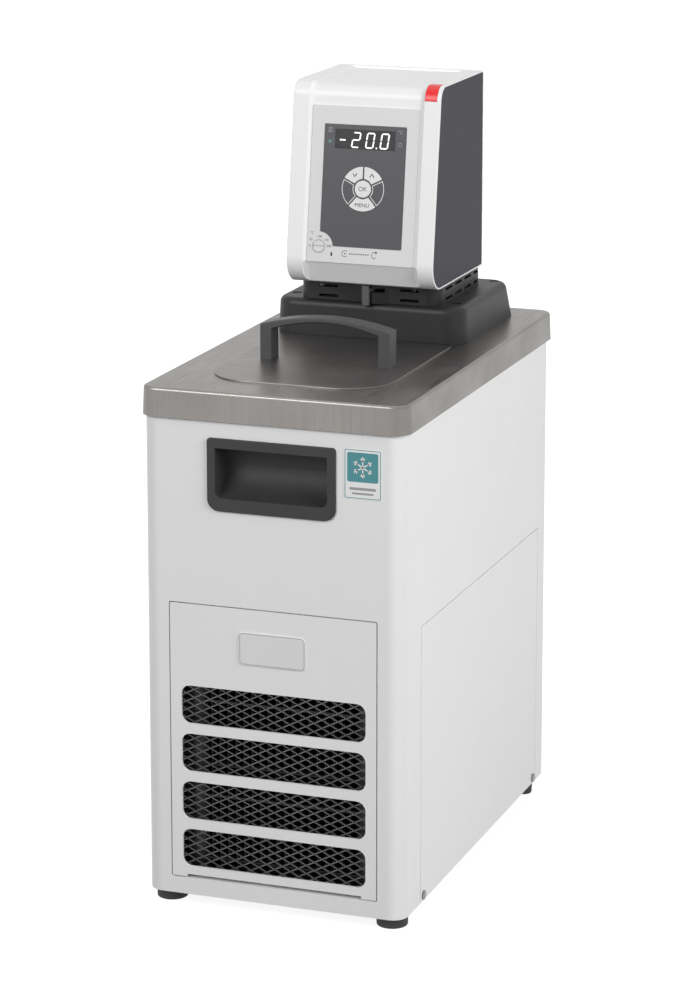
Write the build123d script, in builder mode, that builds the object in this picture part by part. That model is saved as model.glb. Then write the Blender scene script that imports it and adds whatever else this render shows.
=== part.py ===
from build123d import *
from math import atan, cos, degrees, radians, sin, tan
import os

# Bench-top refrigerated circulator: a cooling cabinet on feet, a stainless deck with
# a bath under it, and a control head on a moulded plinth behind the bath lid.
# Millimetres. +Z is up, the front faces -Y, and the origin is on the floor under the
# centre of the deck.

os.makedirs("parts", exist_ok=True)

# Clearances
moving_gap = 0.3
seam_gap = 0.6
assembly_gap = 0.2
bearing_gap = 0.08

# Deck: a pressed stainless cap with a turned-down lip
deck_width = 230.0
deck_depth = 410.0
deck_height = 439.0
deck_sheet = 1.2
deck_lip = 24.0
deck_flare = 1.0
deck_corner = 14.8
deck_edge_radius = 2.5
deck_overhang = 2.5
deck_rear_overhang = 14.0
head_setback = 205.0
head_place = deck_depth / 2 - head_setback

# Cabinet shell, base and feet
foot_height = 10.0
cabinet_sheet = 1.2
cabinet_corner = 13.3
cabinet_rear_corner = 3.0
rear_return = 15.0
rear_sheet = 1.0
base_sheet = 1.5
base_flange = 26.0
front_foot_radius = 13.0
front_foot_inset = 15.5
front_foot_setback = 18.5
rear_foot_radius = 8.0
rear_foot_inset = 8.5
rear_foot_setback = 31.0
screw_head_radius = 4.0
screw_head_height = 1.4
screw_shank_radius = 1.9
screw_sink = 0.6

# Removable side panels
side_panel_front = 44.4
side_panel_length = 325.0
side_panel_top = 246.7
side_screw_inset = 7.4
side_screw_rise = 4.8

# Vent grille and the expanded-metal mesh behind it
grille_width = 178.5
grille_bottom = 25.2
grille_height = 234.9
grille_skin = 2.5
grille_rim_depth = 10.5
grille_rim_wall = 2.0
grille_corner = 0.8
grille_seam = 1.0
grille_notch_width = 153.0
grille_notch_height = 2.3
slot_width = 160.4
slot_height = 32.6
slot_pitch = 41.2
slot_count = 4
slot_rise = 9.3
slot_radius = 8.0
stud_radius = 2.5
stud_length = 13.0
mesh_sheet = 1.0
mesh_border = 3.6
mesh_long = 30.0
mesh_short = 15.0
mesh_strand = 1.6
badge_width = 57.2
badge_height = 27.3
badge_sheet = 0.8
badge_corner = 4.0
badge_drop = 19.2

# Recess frame that the grille drops into
frame_lip = 6.5

# Carrying handle cups, front and rear
cup_width = 110.2
cup_height = 60.5
cup_bottom = 340.6
cup_flange = 2.0
cup_border = 7.0
cup_top_border = 8.0
cup_wall = 2.2
cup_depth = 24.0
cup_top_corner = 3.0
cup_bottom_corner = 10.0
cup_lip_rise = 11.0
cup_mouth_radius = 6.0
cup_floor_rise = 34.0

# Plain label beside the front cup
label_width = 31.2
label_height = 40.6
label_bottom = 361.1
label_right = 93.3
label_sheet = 0.3

# Bath tank, its insulation and the lid
bath_width = 132.0
bath_front = 53.8
bath_rear = 77.2
bath_corner = 30.0
bath_depth = 150.0
tank_sheet = 1.0
tank_flange = 4.0
tank_floor_radius = 9.0
insulation_side = 24.0
insulation_end = 17.5
insulation_floor = 20.0
lid_width = 155.0
lid_front = 42.0
lid_sheet = 1.3
lid_corner = 40.0
lid_rear_corner = 3.0
lid_rim_depth = 8.0
lid_rim_wall = 1.2
lid_rim_gap = 1.5
handle_inset = 9.0
handle_depth = 17.0
handle_post = 9.8
handle_rise = 29.6
handle_arch = 8.0
handle_bar = 4.2
handle_set = 1.2
handle_edge = 1.2

# Plinth under the control head
plinth_width = 172.0
plinth_top_width = 169.0
plinth_front = head_place + 25.9
plinth_rear = head_place + 182.0
plinth_top_rear = head_place + 168.0
plinth_height = 32.2
plinth_corner = 18.0
plinth_edge = 6.0
plinth_wall = 3.0
plinth_screw_x = 72.6
plinth_screw_front = 24.5
plinth_screw_rear = 25.0
plinth_boss_radius = 6.0
port_radius = 7.9
port_bore = 5.5
port_length = 16.0
port_spacing = 64.0
port_flange_radius = 11.0
port_flange = 4.0

# Vented base of the head
base_width = 127.0
base_front = head_place + 31.0
base_rear = head_place + 150.0
base_height = 16.3
base_corner = 12.0
base_wall = 2.5
vent_length = 17.0
vent_height = 2.4
vent_rows = (3.6, 12.2)
vent_front_x = 36.6
side_vent_count = 4
side_vent_pitch = 26.0
side_vent_length = 18.0

# Control head housing, seen as a side profile
head_width = 131.6
head_height = 172.5
head_front = head_place + 2.8
head_rear = head_place + 143.8
head_lean = 8.03
head_heel_radius = 21.4
head_brow_radius = 13.4
head_crown_radius = 4.0
head_wall = 4.5
head_edge = 0.6
cover_sheet = 2.2
cover_margin = 1.4
cover_gap = 0.15
rear_cover_sheet = 2.5
rear_frame = 2.0
rear_frame_lip = 3.0
chin_wall = 3.0
cover_sink = 0.3
recess_width = 96.0
recess_depth = 2.0
recess_ramp = 3.6
recess_rear_rim = 9.0
chamfer_rise = 21.1
chamfer_setback = 16.2

# Front overlay, dark panel, keys and display on the leaning front
overlay_height = 133.2
overlay_sheet = 0.8
panel_width = 73.4
panel_height = 103.6
panel_rise = 13.9
panel_sheet = 0.9
panel_rear = 1.6
panel_rebate = 3.2
panel_corner = 1.6
notch_radius = 12.7
dial_radius = 5.0
dial_proud = 0.5
dial_body = 9.0
dial_slot = 1.5
ring_rise = 49.8
ring_radius = 18.9
ok_radius = 7.2
ring_split = 1.4
key_proud = 0.3
key_travel = 0.6
display_width = 53.7
display_height = 16.4
display_drop = 4.0
display_body = 6.0
display_sink = 0.2
key_flange = 1.0
key_collar = 0.5
key_ear = 1.8
key_ear_width = 3.0
key_stem_radius = 1.5
switch_height = 5.0
board_set = 14.0
board_sheet = 1.6
board_width = 98.0
board_height = 112.0
board_boss_x = 44.0
board_boss_radius = 3.5
board_boss_rises = (24.0, 98.0)
switch_size = 6.0

# Power button on the brow of the right-hand band
button_width = 10.6
button_x = 57.0
button_drop = 12.0
button_back = 15.8
button_depth = 8.4
button_flange = 1.0

# Pump, its lever, heater, sensors and the cooling coil
pump_y = head_place + 82.0
pump_motor_radius = 28.0
pump_motor_height = 84.0
pump_motor_cap = 6.0
shaft_radius = 3.0
shaft_grip = 12.0
column_radius = 16.0
column_wall = 2.0
column_flange_radius = 27.0
column_flange = 3.0
volute_radius = 24.0
volute_height = 24.0
volute_wall = 4.0
volute_inlet = 9.0
impeller_radius = 17.0
impeller_height = 10.0
pump_floor_gap = 12.0
port_tube = 4.0
port_tube_bore = 2.8
port_drop_y = head_place + 92.0
port_bend = 10.0
return_end_rise = 62.0
spout_radius = 5.5
spout_rise = 5.0
lever_x = 5.0
lever_y = head_place + 48.0
lever_reach = 27.0
lever_tab = 4.0
lever_width = 6.4
lever_arm = 3.0
lever_rest = 11.5
lever_swing = 19.5
bulge_radius = 22.0
coil_tube = 4.0
coil_pitch = 13.0
coil_turns = 4
coil_bend = 14.0
coil_width = 108.0
coil_front = head_place + 44.0
coil_rear = head_place + 112.0
coil_floor_gap = 12.0
coil_tail = 14.0
heater_tube = 3.0
heater_width = 82.0
heater_front = head_place + 53.0
heater_rear = head_place + 103.0
heater_bend = 9.0
heater_rise = 43.0
collar_extra = 2.0
collar_height = 2.0
stem_top = 8.0
probe_radius = 2.0
probe_x = 30.0
probe_drop = 118.0
sensor_x = -28.0
sensor_y = head_place + 62.0
sensor_stem = 2.5
sensor_drop = 92.0
float_radius = 8.0
float_height = 16.0

# Cooling machine in the lower cabinet
condenser_width = 172.0
condenser_height = 200.0
condenser_gap = 4.5
header_radius = 11.0
fin_count = 18
fin_sheet = 0.6
fin_inset = 2.0
flat_tube = 2.0
flat_tube_count = 7
shroud_sheet = 1.5
shroud_depth = 6.0
shroud_rim = 4.0
duct_radius = 74.0
duct_length = 20.0
strut_width = 6.0
strut_sheet = 3.0
strut_count = 4
fan_motor_radius = 26.0
fan_motor_length = 40.0
fan_radius = 71.0
fan_hub = 20.0
hub_length = 15.0
fan_blades = 5
blade_root_chord = 24.0
blade_tip_chord = 34.0
blade_sheet = 1.6
blade_lead = 2.0
blade_pitch_root = 40.0
blade_pitch_tip = 22.0
compressor_x = -20.0
compressor_setback = 113.0
compressor_radius = 58.0
compressor_height = 150.0
compressor_dome = 20.0
compressor_plate = 3.0
plate_margin = 12.0
mount_height = 12.0
mount_radius = 10.0
mount_waist = 1.5
mount_x = 62.0
mount_y = 44.0
relay_width = 40.0
relay_height = 46.0
relay_depth = 18.0
relay_rise = 56.0
line_tube = 3.2
line_bend = 8.0
line_height = 240.0
dryer_radius = 9.0
dryer_length = 60.0
dryer_y = -20.0
dryer_inset = 20.5
discharge_inset = 14.5
discharge_height = 140.0
suction_height = 120.0
rear_line_setback = 17.0
drain_x = 70.0
drain_tube = 6.0
drain_bore = 5.0
drain_bend = 12.0
drain_height = 62.0
drain_drop = 73.0
tap_radius = 9.0
tap_inside = 6.0
tap_outside = 13.6
tap_boss_radius = 4.5
tap_boss = 2.0
nozzle_radius = 5.5
nozzle_bore = 3.5
tap_bore = 4.0
nozzle_length = 16.0
nozzle_out = 7.0
nozzle_shoulder_radius = 6.3
nozzle_shoulder = 2.0
knob_radius = 6.2
knob_height = 4.0
knob_spindle = 2.0
knob_reach = 20.0

# Rear panel and rear cover
rear_margin = 6.0
louvre_count = 7
louvre_width = 120.0
louvre_height = 5.0
louvre_pitch = 14.0
louvre_bottom = 150.0
inlet_width = 27.0
inlet_height = 20.0
inlet_flange = 4.0
inlet_depth = 16.0
inlet_rise = 26.0
inlet_rim = 2.0
head_vent_count = 6
head_vent_width = 60.0
head_vent_height = 3.0
head_vent_pitch = 8.0

# Derived places
cabinet_width = deck_width - 2 * deck_overhang
cabinet_front = deck_overhang - deck_depth / 2
cabinet_rear = deck_depth / 2 - deck_rear_overhang
cabinet_half = cabinet_width / 2
deck_under = deck_height - deck_sheet
compressor_y = cabinet_rear - compressor_setback
dryer_x = cabinet_half - dryer_inset
discharge_x = discharge_inset - cabinet_half
rear_line_y = cabinet_rear - rear_line_setback
shell_rear = cabinet_rear - rear_sheet
shell_length = shell_rear - cabinet_front
shell_mid = (shell_rear + cabinet_front) / 2
floor_top = foot_height + base_sheet
side_start = cabinet_front + side_panel_front
side_end = side_start + side_panel_length
grille_mid = grille_bottom + grille_height / 2
bath_start = bath_front - deck_depth / 2
bath_end = deck_depth / 2 - bath_rear
bath_length = bath_end - bath_start
bath_mid = (bath_start + bath_end) / 2
bath_floor = deck_height - bath_depth
tank_flange_top = deck_under
plinth_top = deck_height + plinth_height
head_floor = plinth_top + base_height
head_top = head_floor + head_height
lean = radians(head_lean)
recess_half = recess_width / 2
rear_bottom = foot_height + rear_margin
rear_top = deck_height - deck_lip - rear_margin
rear_screws = [
    (sx * (cabinet_half - rear_margin - 5), z)
    for sx in (-1, 1)
    for z in (rear_bottom + 8, (rear_bottom + rear_top) / 2, rear_top - 8)
]


def front_y(height, inset=0.0):
    """Front of the head at a height, set back square to the lean by inset."""
    return head_front + (height - head_floor) * tan(lean) + inset / cos(lean)


# Leaning front: x to the right, y up the slope, the normal out of the recessed face
front_face = Plane(
    origin=(0, front_y(head_floor, recess_depth), head_floor),
    x_dir=(1, 0, 0),
    z_dir=(0, -cos(lean), sin(lean)),
)


def front_plane(distance=0.0):
    """Plane parallel to the recessed front, distance outwards from it."""
    return front_face.offset(distance)


def save(part, name):
    """Name a finished piece and write it as one STEP file."""
    part.label = name
    export_step(part, f"parts/{name}.step")


# Top deck: tapered lip, hollow under the sheet, with the bath opening
flare_angle = degrees(atan(deck_flare / deck_lip))
with BuildPart() as top_deck:
    with BuildSketch(Plane.XY.offset(deck_height - deck_lip)):
        RectangleRounded(deck_width, deck_depth, deck_corner)
    extrude(amount=deck_lip, taper=flare_angle)
    fillet(top_deck.faces().sort_by(Axis.Z)[-1].edges(), deck_edge_radius)
    with BuildSketch(Plane.XY.offset(deck_height - deck_lip)):
        RectangleRounded(
            deck_width - 2 * deck_sheet, deck_depth - 2 * deck_sheet, deck_corner - deck_sheet
        )
    extrude(amount=deck_lip - deck_sheet, taper=flare_angle, mode=Mode.SUBTRACT)
    with BuildSketch(Plane.XY.offset(deck_height)):
        with Locations((0, bath_mid)):
            RectangleRounded(bath_width, bath_length, bath_corner)
    extrude(amount=-deck_sheet, mode=Mode.SUBTRACT)
    with Locations(Plane.XY.offset(deck_height)):
        with Locations(
            *[
                (sx * plinth_screw_x, y)
                for sx in (-1, 1)
                for y in (plinth_front + plinth_screw_front, plinth_rear - plinth_screw_rear)
            ]
        ):
            Hole(screw_shank_radius + assembly_gap, deck_sheet)
save(top_deck.part, "top_deck")


def cabinet_outline(inset):
    """Cabinet plan with large front corners and tight rear ones, inset all round."""
    with BuildSketch() as plan:
        with Locations((0, shell_mid)):
            Rectangle(cabinet_width - 2 * inset, shell_length - 2 * inset)
        fillet(plan.vertices().group_by(Axis.Y)[0], cabinet_corner - inset)
        fillet(plan.vertices().group_by(Axis.Y)[-1], max(cabinet_rear_corner - inset, 0.3))
    return plan.sketch


frame_half_width = grille_width / 2 + grille_seam
frame_height = grille_height + 2 * grille_seam
frame_depth = grille_rim_depth + moving_gap
stud_x = grille_width / 2 - grille_rim_wall - stud_radius - 0.4
stud_z = (grille_bottom + grille_rim_wall + stud_radius + 0.4, grille_bottom + grille_height - 14.0)
cup_mid = cup_bottom + cup_height / 2
cup_open_width = cup_width - 2 * cup_border
cup_open_bottom = cup_bottom + cup_border
cup_open_top = cup_bottom + cup_height - cup_top_border
cup_open_mid = (cup_open_bottom + cup_open_top) / 2
cup_hole_width = cup_open_width + 2 * (cup_wall + assembly_gap)
cup_hole_height = cup_open_top - cup_open_bottom + 2 * (cup_wall + assembly_gap)

# Cabinet shell: wrap of painted sheet with the grille frame folded into its front
with BuildPart() as cabinet_shell:
    with BuildSketch(Plane.XY.offset(foot_height)):
        add(cabinet_outline(0))
    extrude(amount=deck_under - foot_height)
    with BuildSketch(Plane.XY.offset(foot_height)):
        add(cabinet_outline(cabinet_sheet))
    extrude(amount=deck_under - foot_height, mode=Mode.SUBTRACT)
    with BuildSketch(Plane.XZ.offset(-cabinet_front)):
        with Locations((0, grille_mid)):
            Rectangle(2 * (frame_half_width + cabinet_sheet), frame_height + 2 * cabinet_sheet)
    extrude(amount=-(frame_depth + cabinet_sheet))
    with BuildSketch(Plane.XZ.offset(-cabinet_front)):
        with Locations((0, grille_mid)):
            RectangleRounded(2 * frame_half_width, frame_height, grille_corner + grille_seam)
    extrude(amount=-frame_depth, mode=Mode.SUBTRACT)
    with BuildSketch(Plane.XZ.offset(-cabinet_front)):
        with Locations((0, grille_mid)):
            Rectangle(2 * (frame_half_width - frame_lip), frame_height - 2 * frame_lip)
        with Locations(*[(sx * stud_x, z) for sx in (-1, 1) for z in stud_z]):
            Circle(stud_radius + moving_gap)
        with Locations((0, cup_open_mid)):
            Rectangle(cup_hole_width, cup_hole_height)
    extrude(amount=-(frame_depth + cabinet_sheet), mode=Mode.SUBTRACT)
    with BuildSketch(Plane.YZ):
        with Locations(((side_start + side_end) / 2, (foot_height + side_panel_top) / 2)):
            Rectangle(
                side_panel_length + 2 * seam_gap, side_panel_top - foot_height + 2 * seam_gap
            )
    extrude(amount=cabinet_width, both=True, mode=Mode.SUBTRACT)
    with BuildSketch(Plane.XZ.offset(-shell_rear)):
        with Locations((0, (floor_top + deck_under) / 2)):
            Rectangle(cabinet_width - 2 * rear_return, deck_under - floor_top - 2 * deck_lip)
        with Locations(*rear_screws):
            Circle(screw_shank_radius + assembly_gap)
    extrude(amount=2 * rear_return, mode=Mode.SUBTRACT)
save(cabinet_shell.part, "cabinet_shell")

# Base pan: floor tray with turned-up flanges inside the shell
pan_inset = cabinet_sheet + assembly_gap
with BuildPart() as base_pan:
    with BuildSketch(Plane.XY.offset(foot_height)):
        add(cabinet_outline(pan_inset))
    extrude(amount=base_flange)
    with BuildSketch(Plane.XY.offset(floor_top)):
        add(cabinet_outline(pan_inset + base_sheet))
    extrude(amount=base_flange, mode=Mode.SUBTRACT)
    with BuildSketch(Plane.XZ.offset(-cabinet_front)):
        with Locations((0, grille_mid)):
            Rectangle(
                2 * (frame_half_width + cabinet_sheet + assembly_gap),
                frame_height + 2 * (cabinet_sheet + assembly_gap),
            )
    extrude(amount=-(frame_depth + cabinet_sheet), mode=Mode.SUBTRACT)
    with BuildSketch(Plane.YZ):
        with Locations(
            *[
                (y, foot_height + side_screw_rise)
                for y in (side_start + side_screw_inset, side_end - side_screw_inset)
            ]
        ):
            Circle(screw_shank_radius + assembly_gap)
    extrude(amount=cabinet_width, both=True, mode=Mode.SUBTRACT)
    with BuildSketch(Plane.XZ.offset(-shell_rear)):
        with Locations(*rear_screws):
            Circle(screw_shank_radius + assembly_gap)
    extrude(amount=cabinet_rear_corner + pan_inset + base_sheet, mode=Mode.SUBTRACT)
save(base_pan.part, "base_pan")

# Feet: two broad front pads and two slimmer tapered rear ones
front_foot_x = cabinet_half - front_foot_inset
front_foot_y = cabinet_front + front_foot_setback
rear_foot_x = cabinet_half - rear_foot_inset
rear_foot_y = cabinet_rear - rear_foot_setback
with BuildPart() as feet:
    for side in (-1, 1):
        with BuildSketch():
            with Locations((side * front_foot_x, front_foot_y)):
                Circle(front_foot_radius)
        extrude(amount=foot_height)
        with BuildSketch(Plane.XY.offset(foot_height)):
            with Locations((side * rear_foot_x, rear_foot_y)):
                Circle(rear_foot_radius)
        extrude(amount=-foot_height, taper=4)
    fillet(feet.faces().filter_by(Axis.Z).group_by(Axis.Z)[0].edges(), 1.2)
save(feet.part, "feet")


def side_panel(side):
    """Flush side panel with a turned-in edge, on the left (-1) or right (1)."""
    outer = Plane.YZ.offset(side * cabinet_half)
    middle = (side_start + side_end) / 2
    rise = side_panel_top - foot_height
    with BuildPart() as panel:
        with BuildSketch(outer):
            with Locations((middle, foot_height + rise / 2)):
                Rectangle(side_panel_length, rise)
        extrude(amount=-side * cabinet_sheet)
        with BuildSketch(outer.offset(-side * cabinet_sheet)):
            with Locations((middle, (side_panel_top + foot_height + base_flange) / 2 + 1)):
                height = side_panel_top - foot_height - base_flange - 2
                Rectangle(side_panel_length, height)
                Rectangle(
                    side_panel_length - 2 * cabinet_sheet,
                    height - 2 * cabinet_sheet,
                    mode=Mode.SUBTRACT,
                )
        extrude(amount=-side * 6.0)
        with BuildSketch(outer):
            with Locations(
                *[
                    (y, foot_height + side_screw_rise)
                    for y in (side_start + side_screw_inset, side_end - side_screw_inset)
                ]
            ):
                Circle(screw_shank_radius + assembly_gap)
        extrude(amount=-side * cabinet_sheet, mode=Mode.SUBTRACT)
    return panel.part


save(side_panel(-1), "side_panel_left")
save(side_panel(1), "side_panel_right")

# Cabinet screws: pan heads on the side and rear sheets, shanks into the flanges
with BuildPart() as cabinet_screws:
    for side in (-1, 1):
        with BuildSketch(Plane.YZ.offset(side * cabinet_half)):
            with Locations(
                *[
                    (y, foot_height + side_screw_rise)
                    for y in (side_start + side_screw_inset, side_end - side_screw_inset)
                ]
            ):
                Circle(screw_head_radius)
        extrude(amount=side * screw_head_height)
        with BuildSketch(Plane.YZ.offset(side * cabinet_half)):
            with Locations(
                *[
                    (y, foot_height + side_screw_rise)
                    for y in (side_start + side_screw_inset, side_end - side_screw_inset)
                ]
            ):
                Circle(screw_shank_radius)
        extrude(amount=-side * 6.0)
    with BuildSketch(Plane.XZ.offset(-cabinet_rear)):
        with Locations(*rear_screws):
            Circle(screw_head_radius)
    extrude(amount=-screw_head_height)
    with BuildSketch(Plane.XZ.offset(-cabinet_rear)):
        with Locations(*rear_screws):
            Circle(screw_shank_radius)
    extrude(amount=6.0)
    rims = cabinet_screws.edges().filter_by(GeomType.CIRCLE)
    fillet(rims.group_by(Axis.X)[0] + rims.group_by(Axis.X)[-1] + rims.group_by(Axis.Y)[-1], 0.6)
save(cabinet_screws.part, "cabinet_screws")

# Vent grille: flat skin with four rounded slots, a rim behind and four snap studs
slot_centres = [
    (0, grille_bottom + slot_rise + slot_height / 2 + n * slot_pitch) for n in range(slot_count)
]
skin_back = -cabinet_front - grille_skin
with BuildPart() as vent_grille:
    with BuildSketch(Plane.XZ.offset(-cabinet_front)):
        with Locations((0, grille_mid)):
            RectangleRounded(grille_width, grille_height, grille_corner)
    extrude(amount=-grille_rim_depth)
    with BuildSketch(Plane.XZ.offset(skin_back)):
        with Locations((0, grille_mid)):
            Rectangle(grille_width - 2 * grille_rim_wall, grille_height - 2 * grille_rim_wall)
    extrude(amount=-grille_rim_depth, mode=Mode.SUBTRACT)
    with BuildSketch(Plane.XZ.offset(-cabinet_front)):
        with Locations(*slot_centres):
            RectangleRounded(slot_width, slot_height, slot_radius)
        with Locations((0, grille_bottom)):
            Rectangle(grille_notch_width, 2 * grille_notch_height)
    extrude(amount=-grille_skin, mode=Mode.SUBTRACT)
    with BuildSketch(Plane.XZ.offset(-cabinet_front)):
        with Locations((0, grille_bottom)):
            Rectangle(grille_notch_width, 2 * grille_notch_height)
    extrude(amount=-grille_rim_depth, mode=Mode.SUBTRACT)
    with BuildSketch(Plane.XZ.offset(-cabinet_front)):
        with Locations((0, grille_bottom + grille_notch_height + grille_rim_wall / 2)):
            Rectangle(grille_notch_width + 2 * grille_rim_wall, grille_rim_wall)
    extrude(amount=-grille_rim_depth)
    with BuildSketch(Plane.XZ.offset(skin_back)):
        with Locations(*[(sx * stud_x, z) for sx in (-1, 1) for z in stud_z]):
            Circle(stud_radius)
    extrude(amount=-stud_length)
save(vent_grille.part, "vent_grille")

# Expanded-metal mesh: a staggered field of diamonds behind the slots
mesh_bottom = slot_centres[0][1] - slot_height / 2 - mesh_border / 2
mesh_top = slot_centres[-1][1] + slot_height / 2 + mesh_border
mesh_width = slot_width + 2 * mesh_border
mesh_mid = (mesh_bottom + mesh_top) / 2
mesh_columns = int((mesh_width - mesh_border) / mesh_long)
mesh_rows = int((mesh_top - mesh_bottom - mesh_border) / mesh_short)
half_long = (mesh_long - 2 * mesh_strand) / 2
half_short = (mesh_short - 2 * mesh_strand) / 2
with BuildPart() as grille_mesh:
    with BuildSketch(Plane.XZ.offset(skin_back)):
        with Locations((0, mesh_mid)):
            Rectangle(mesh_width, mesh_top - mesh_bottom)
        with Locations((0, mesh_mid)):
            with GridLocations(mesh_long, mesh_short, mesh_columns, mesh_rows):
                Polygon(
                    (-half_long, 0), (0, -half_short), (half_long, 0), (0, half_short),
                    mode=Mode.SUBTRACT,
                )
            with GridLocations(mesh_long, mesh_short, mesh_columns - 1, mesh_rows - 1):
                Polygon(
                    (-half_long, 0), (0, -half_short), (half_long, 0), (0, half_short),
                    mode=Mode.SUBTRACT,
                )
    extrude(amount=-mesh_sheet)
save(grille_mesh.part, "grille_mesh")

# Bare badge plate on the grille and the bare label on the cabinet front
badge_top = grille_bottom + grille_height - badge_drop
with BuildPart() as grille_badge:
    with BuildSketch(Plane.XZ.offset(-cabinet_front)):
        with Locations((0, badge_top - badge_height / 2)):
            RectangleRounded(badge_width, badge_height, badge_corner)
    extrude(amount=badge_sheet)
save(grille_badge.part, "grille_badge")

with BuildPart() as front_label:
    with BuildSketch(Plane.XZ.offset(-cabinet_front)):
        with Locations((label_right - label_width / 2, label_bottom + label_height / 2)):
            RectangleRounded(label_width, label_height, 1.5)
    extrude(amount=label_sheet)
save(front_label.part, "front_label")

# Carrying handle cup: bezel on the sheet, tub through it, hollow up behind the top lip
cup_front_y = cabinet_front - cup_flange
cup_back_y = cabinet_front + cup_depth
scoop_low = cup_bottom + cup_lip_rise
with BuildPart() as cup_hollow:
    with BuildSketch(Plane.YZ):
        with BuildLine():
            Polyline(
                (cup_front_y, scoop_low),
                (cup_front_y, cup_open_top),
                (cup_back_y, cup_open_top),
                (cup_back_y, cup_bottom + cup_floor_rise),
            )
            ThreePointArc(
                (cup_back_y, cup_bottom + cup_floor_rise),
                (
                    cup_back_y - 0.36 * (cup_back_y - cup_front_y),
                    scoop_low + 0.30 * (cup_floor_rise - cup_lip_rise),
                ),
                (cup_front_y, scoop_low),
            )
        make_face()
    extrude(amount=cup_open_width / 2, both=True)
    with BuildSketch(Plane.XZ.offset(-cup_back_y)) as mouth:
        with Locations((0, (scoop_low + cup_open_top) / 2)):
            Rectangle(cup_open_width, cup_open_top - scoop_low)
        fillet(mouth.vertices().group_by(Axis.Y)[0], cup_mouth_radius)
    extrude(amount=cup_depth + cup_flange, mode=Mode.INTERSECT)

with BuildPart() as carry_handle_front:
    with BuildSketch(Plane.XZ.offset(-cabinet_front)) as bezel:
        with Locations((0, cup_mid)):
            Rectangle(cup_width, cup_height)
        fillet(bezel.vertices().group_by(Axis.Y)[-1], cup_top_corner)
        fillet(bezel.vertices().group_by(Axis.Y)[0], cup_bottom_corner)
    extrude(amount=cup_flange)
    with BuildSketch(Plane.XZ.offset(-cabinet_front)):
        with Locations((0, cup_open_mid)):
            Rectangle(cup_hole_width - 2 * assembly_gap, cup_hole_height - 2 * assembly_gap)
    extrude(amount=-(cup_depth + cup_wall))
    fillet(carry_handle_front.faces().sort_by(Axis.Y)[0].edges(), 0.8)
    add(cup_hollow.part, mode=Mode.SUBTRACT)
save(carry_handle_front.part, "carry_handle_front")

rear_mirror = Plane.XZ.offset(-(cabinet_front + cabinet_rear) / 2)
with BuildPart() as carry_handle_rear:
    add(mirror(carry_handle_front.part, about=rear_mirror, mode=Mode.PRIVATE))
save(carry_handle_rear.part, "carry_handle_rear")

# Rear panel: sheet over the shell's rear opening, with louvres, cup hole and drain hole
with BuildPart() as rear_panel:
    with BuildSketch(Plane.XZ.offset(-shell_rear)):
        with Locations((0, (rear_bottom + rear_top) / 2)):
            RectangleRounded(cabinet_width - 2 * rear_margin, rear_top - rear_bottom, 4)
        with Locations((0, cup_open_mid)):
            Rectangle(cup_hole_width, cup_hole_height, mode=Mode.SUBTRACT)
        for n in range(louvre_count):
            with Locations((0, louvre_bottom + n * louvre_pitch)):
                SlotOverall(louvre_width, louvre_height, mode=Mode.SUBTRACT)
        with Locations((drain_x, drain_height)):
            Circle(tap_radius + assembly_gap, mode=Mode.SUBTRACT)
        with Locations(*rear_screws):
            Circle(screw_shank_radius + assembly_gap, mode=Mode.SUBTRACT)
    extrude(amount=-rear_sheet)
save(rear_panel.part, "rear_panel")

# Bath tank: drawn stainless pan with a flange under the deck
tank_tail_x = (-coil_width / 2, coil_width / 2)
coil_low = bath_floor + coil_floor_gap + coil_tube
coil_high = coil_low + coil_pitch * (coil_turns - 1)
tail_places = [(tank_tail_x[0], coil_low), (tank_tail_x[1], coil_high)]
drain_y = bath_end - bath_corner - 2 * drain_tube
with BuildPart() as bath_tank:
    with BuildSketch(Plane.XY.offset(bath_floor - tank_sheet)):
        with Locations((0, bath_mid)):
            RectangleRounded(
                bath_width + 2 * tank_sheet, bath_length + 2 * tank_sheet, bath_corner + tank_sheet
            )
    extrude(amount=tank_flange_top - bath_floor + tank_sheet)
    fillet(bath_tank.faces().sort_by(Axis.Z)[0].edges(), tank_floor_radius + tank_sheet)
    with BuildSketch(Plane.XY.offset(tank_flange_top)):
        with Locations((0, bath_mid)):
            RectangleRounded(
                bath_width + 2 * tank_flange, bath_length + 2 * tank_flange, bath_corner + tank_flange
            )
    extrude(amount=-tank_sheet)
    with BuildPart(mode=Mode.PRIVATE) as hollow:
        with BuildSketch(Plane.XY.offset(bath_floor)):
            with Locations((0, bath_mid)):
                RectangleRounded(bath_width, bath_length, bath_corner)
        extrude(amount=bath_depth)
        fillet(hollow.faces().sort_by(Axis.Z)[0].edges(), tank_floor_radius)
    add(hollow.part, mode=Mode.SUBTRACT)
    with BuildSketch(Plane.XZ.offset(-bath_end - tank_sheet)):
        with Locations(*tail_places):
            Circle(coil_tube + assembly_gap)
    extrude(amount=bath_corner, mode=Mode.SUBTRACT)
    with BuildSketch(Plane.XY.offset(bath_floor)):
        with Locations((0, drain_y)):
            Circle(drain_bore)
    extrude(amount=-2 * tank_sheet, mode=Mode.SUBTRACT)
save(bath_tank.part, "bath_tank")

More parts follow.
